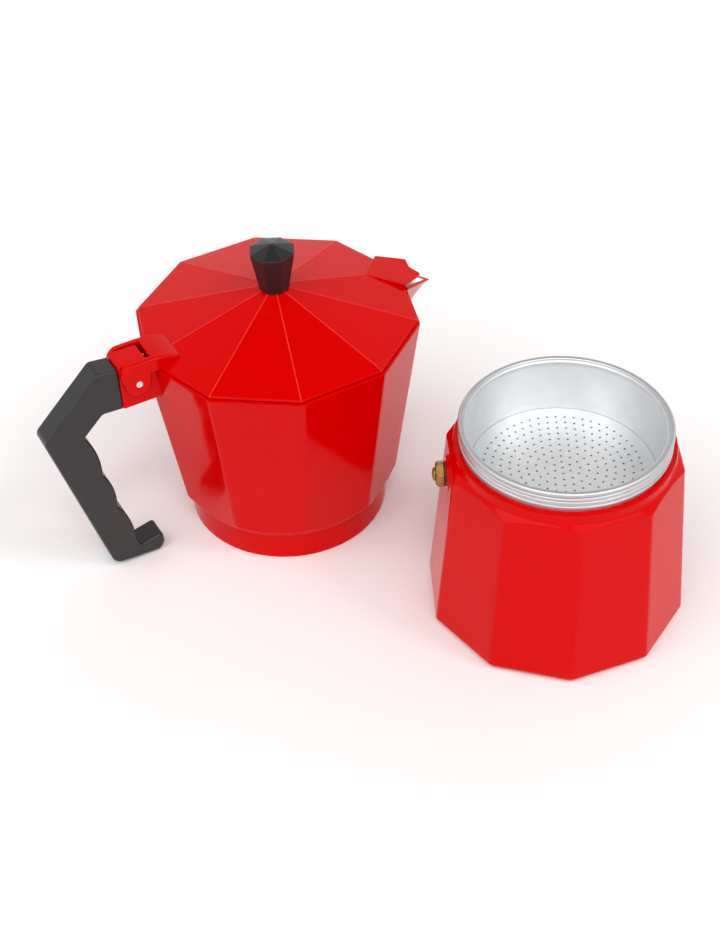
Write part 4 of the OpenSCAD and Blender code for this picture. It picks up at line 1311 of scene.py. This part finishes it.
def makePerforatedTree():
    # a round plate with rings of holes, six more in each ring
    inputs = [("Rings", "Int", 9), ("Pitch", "Float", 0.0038), ("Hole radius", "Float", 0.0004),
              ("Plate radius", "Float", 0.04), ("Thickness", "Float", 0.0008), ("Metal", "Material", None)]
    tree, entry, leave = newTree("perforatedPlate", inputs)
    rings = entry.outputs["Rings"]
    total = calc(tree, "MULTIPLY", calc(tree, "MULTIPLY", rings, 3.0), calc(tree, "ADD", rings, 1.0))
    points = tree.nodes.new("GeometryNodePoints")
    link(tree, calc(tree, "ADD", total, 1.0), points.inputs["Count"])
    index = tree.nodes.new("GeometryNodeInputIndex").outputs[0]
    inner = calc(tree, "SQRT", calc(tree, "ADD", calc(tree, "MULTIPLY", index, 12.0), 9.0))
    share = calc(tree, "DIVIDE", calc(tree, "SUBTRACT", inner, 3.0), 6.0)
    ring = calc(tree, "CEIL", calc(tree, "SUBTRACT", share, 0.0001))
    safe = calc(tree, "MAXIMUM", ring, 1.0)
    before = calc(tree, "MULTIPLY", calc(tree, "MULTIPLY", ring, 3.0), calc(tree, "SUBTRACT", ring, 1.0))
    along = calc(tree, "SUBTRACT", index, before)
    turn = calc(tree, "DIVIDE", calc(tree, "MULTIPLY", along, math.pi / 3), safe)
    reach = calc(tree, "MULTIPLY", ring, entry.outputs["Pitch"])
    spot = tree.nodes.new("ShaderNodeCombineXYZ")
    link(tree, calc(tree, "MULTIPLY", reach, calc(tree, "COSINE", turn)), spot.inputs[0])
    link(tree, calc(tree, "MULTIPLY", reach, calc(tree, "SINE", turn)), spot.inputs[1])
    spread = tree.nodes.new("GeometryNodeSetPosition")
    link(tree, points.outputs[0], spread.inputs["Geometry"])
    link(tree, spot.outputs[0], spread.inputs["Position"])
    hole = tree.nodes.new("GeometryNodeCurvePrimitiveCircle")
    hole.inputs["Resolution"].default_value = 10
    link(tree, entry.outputs["Hole radius"], hole.inputs["Radius"])
    holes = tree.nodes.new("GeometryNodeInstanceOnPoints")
    link(tree, spread.outputs[0], holes.inputs["Points"])
    link(tree, hole.outputs[0], holes.inputs["Instance"])
    rim = tree.nodes.new("GeometryNodeCurvePrimitiveCircle")
    rim.inputs["Resolution"].default_value = 96
    link(tree, entry.outputs["Plate radius"], rim.inputs["Radius"])
    curves = tree.nodes.new("GeometryNodeJoinGeometry")
    loose = tree.nodes.new("GeometryNodeRealizeInstances")
    link(tree, holes.outputs[0], loose.inputs[0])
    link(tree, loose.outputs[0], curves.inputs[0])
    link(tree, rim.outputs[0], curves.inputs[0])
    fill = tree.nodes.new("GeometryNodeFillCurve")
    link(tree, curves.outputs[0], fill.inputs[0])
    thick = tree.nodes.new("GeometryNodeExtrudeMesh")
    thick.inputs["Individual"].default_value = False
    link(tree, fill.outputs[0], thick.inputs["Mesh"])
    link(tree, entry.outputs["Thickness"], thick.inputs["Offset Scale"])
    back = tree.nodes.new("GeometryNodeFlipFaces")
    link(tree, fill.outputs[0], back.inputs[0])
    both = tree.nodes.new("GeometryNodeJoinGeometry")
    link(tree, thick.outputs[0], both.inputs[0])
    link(tree, back.outputs[0], both.inputs[0])
    merge = tree.nodes.new("GeometryNodeMergeByDistance")
    merge.inputs["Distance"].default_value = 0.000002
    link(tree, both.outputs[0], merge.inputs[0])
    return endTree(tree, merge.outputs[0], entry, leave)


perforatedTree = makePerforatedTree()


def makePerforated(name, r, z, thickness, centre, material):
    # a perforated disc whose lower face is at z
    p = plateSize
    disc = newObject(name, bpy.data.meshes.new(name))
    runTree(disc, perforatedTree, **{
        "Rings": p["rings"], "Pitch": p["pitch"] * mm, "Hole radius": p["holeR"] * mm, "Plate radius": r * mm,
        "Thickness": thickness * mm, "Metal": material})
    turnOutward(disc.data)
    return moveMesh(disc, Matrix.Translation(centre + Vector((0, 0, z * mm))))


def makeSieve():
    s = funnelSize
    sieve = makePerforated("funnelSieve", s["sieveR"] - 0.05, s["sieveZ"] - s["sieveT"], s["sieveT"],
                           boilerAxis, sieveAluminium)
    place(sieve, "funnel", "bare_aluminium", "funnel_sieve")


makeFunnel()
makeSieve()
print("funnel made")
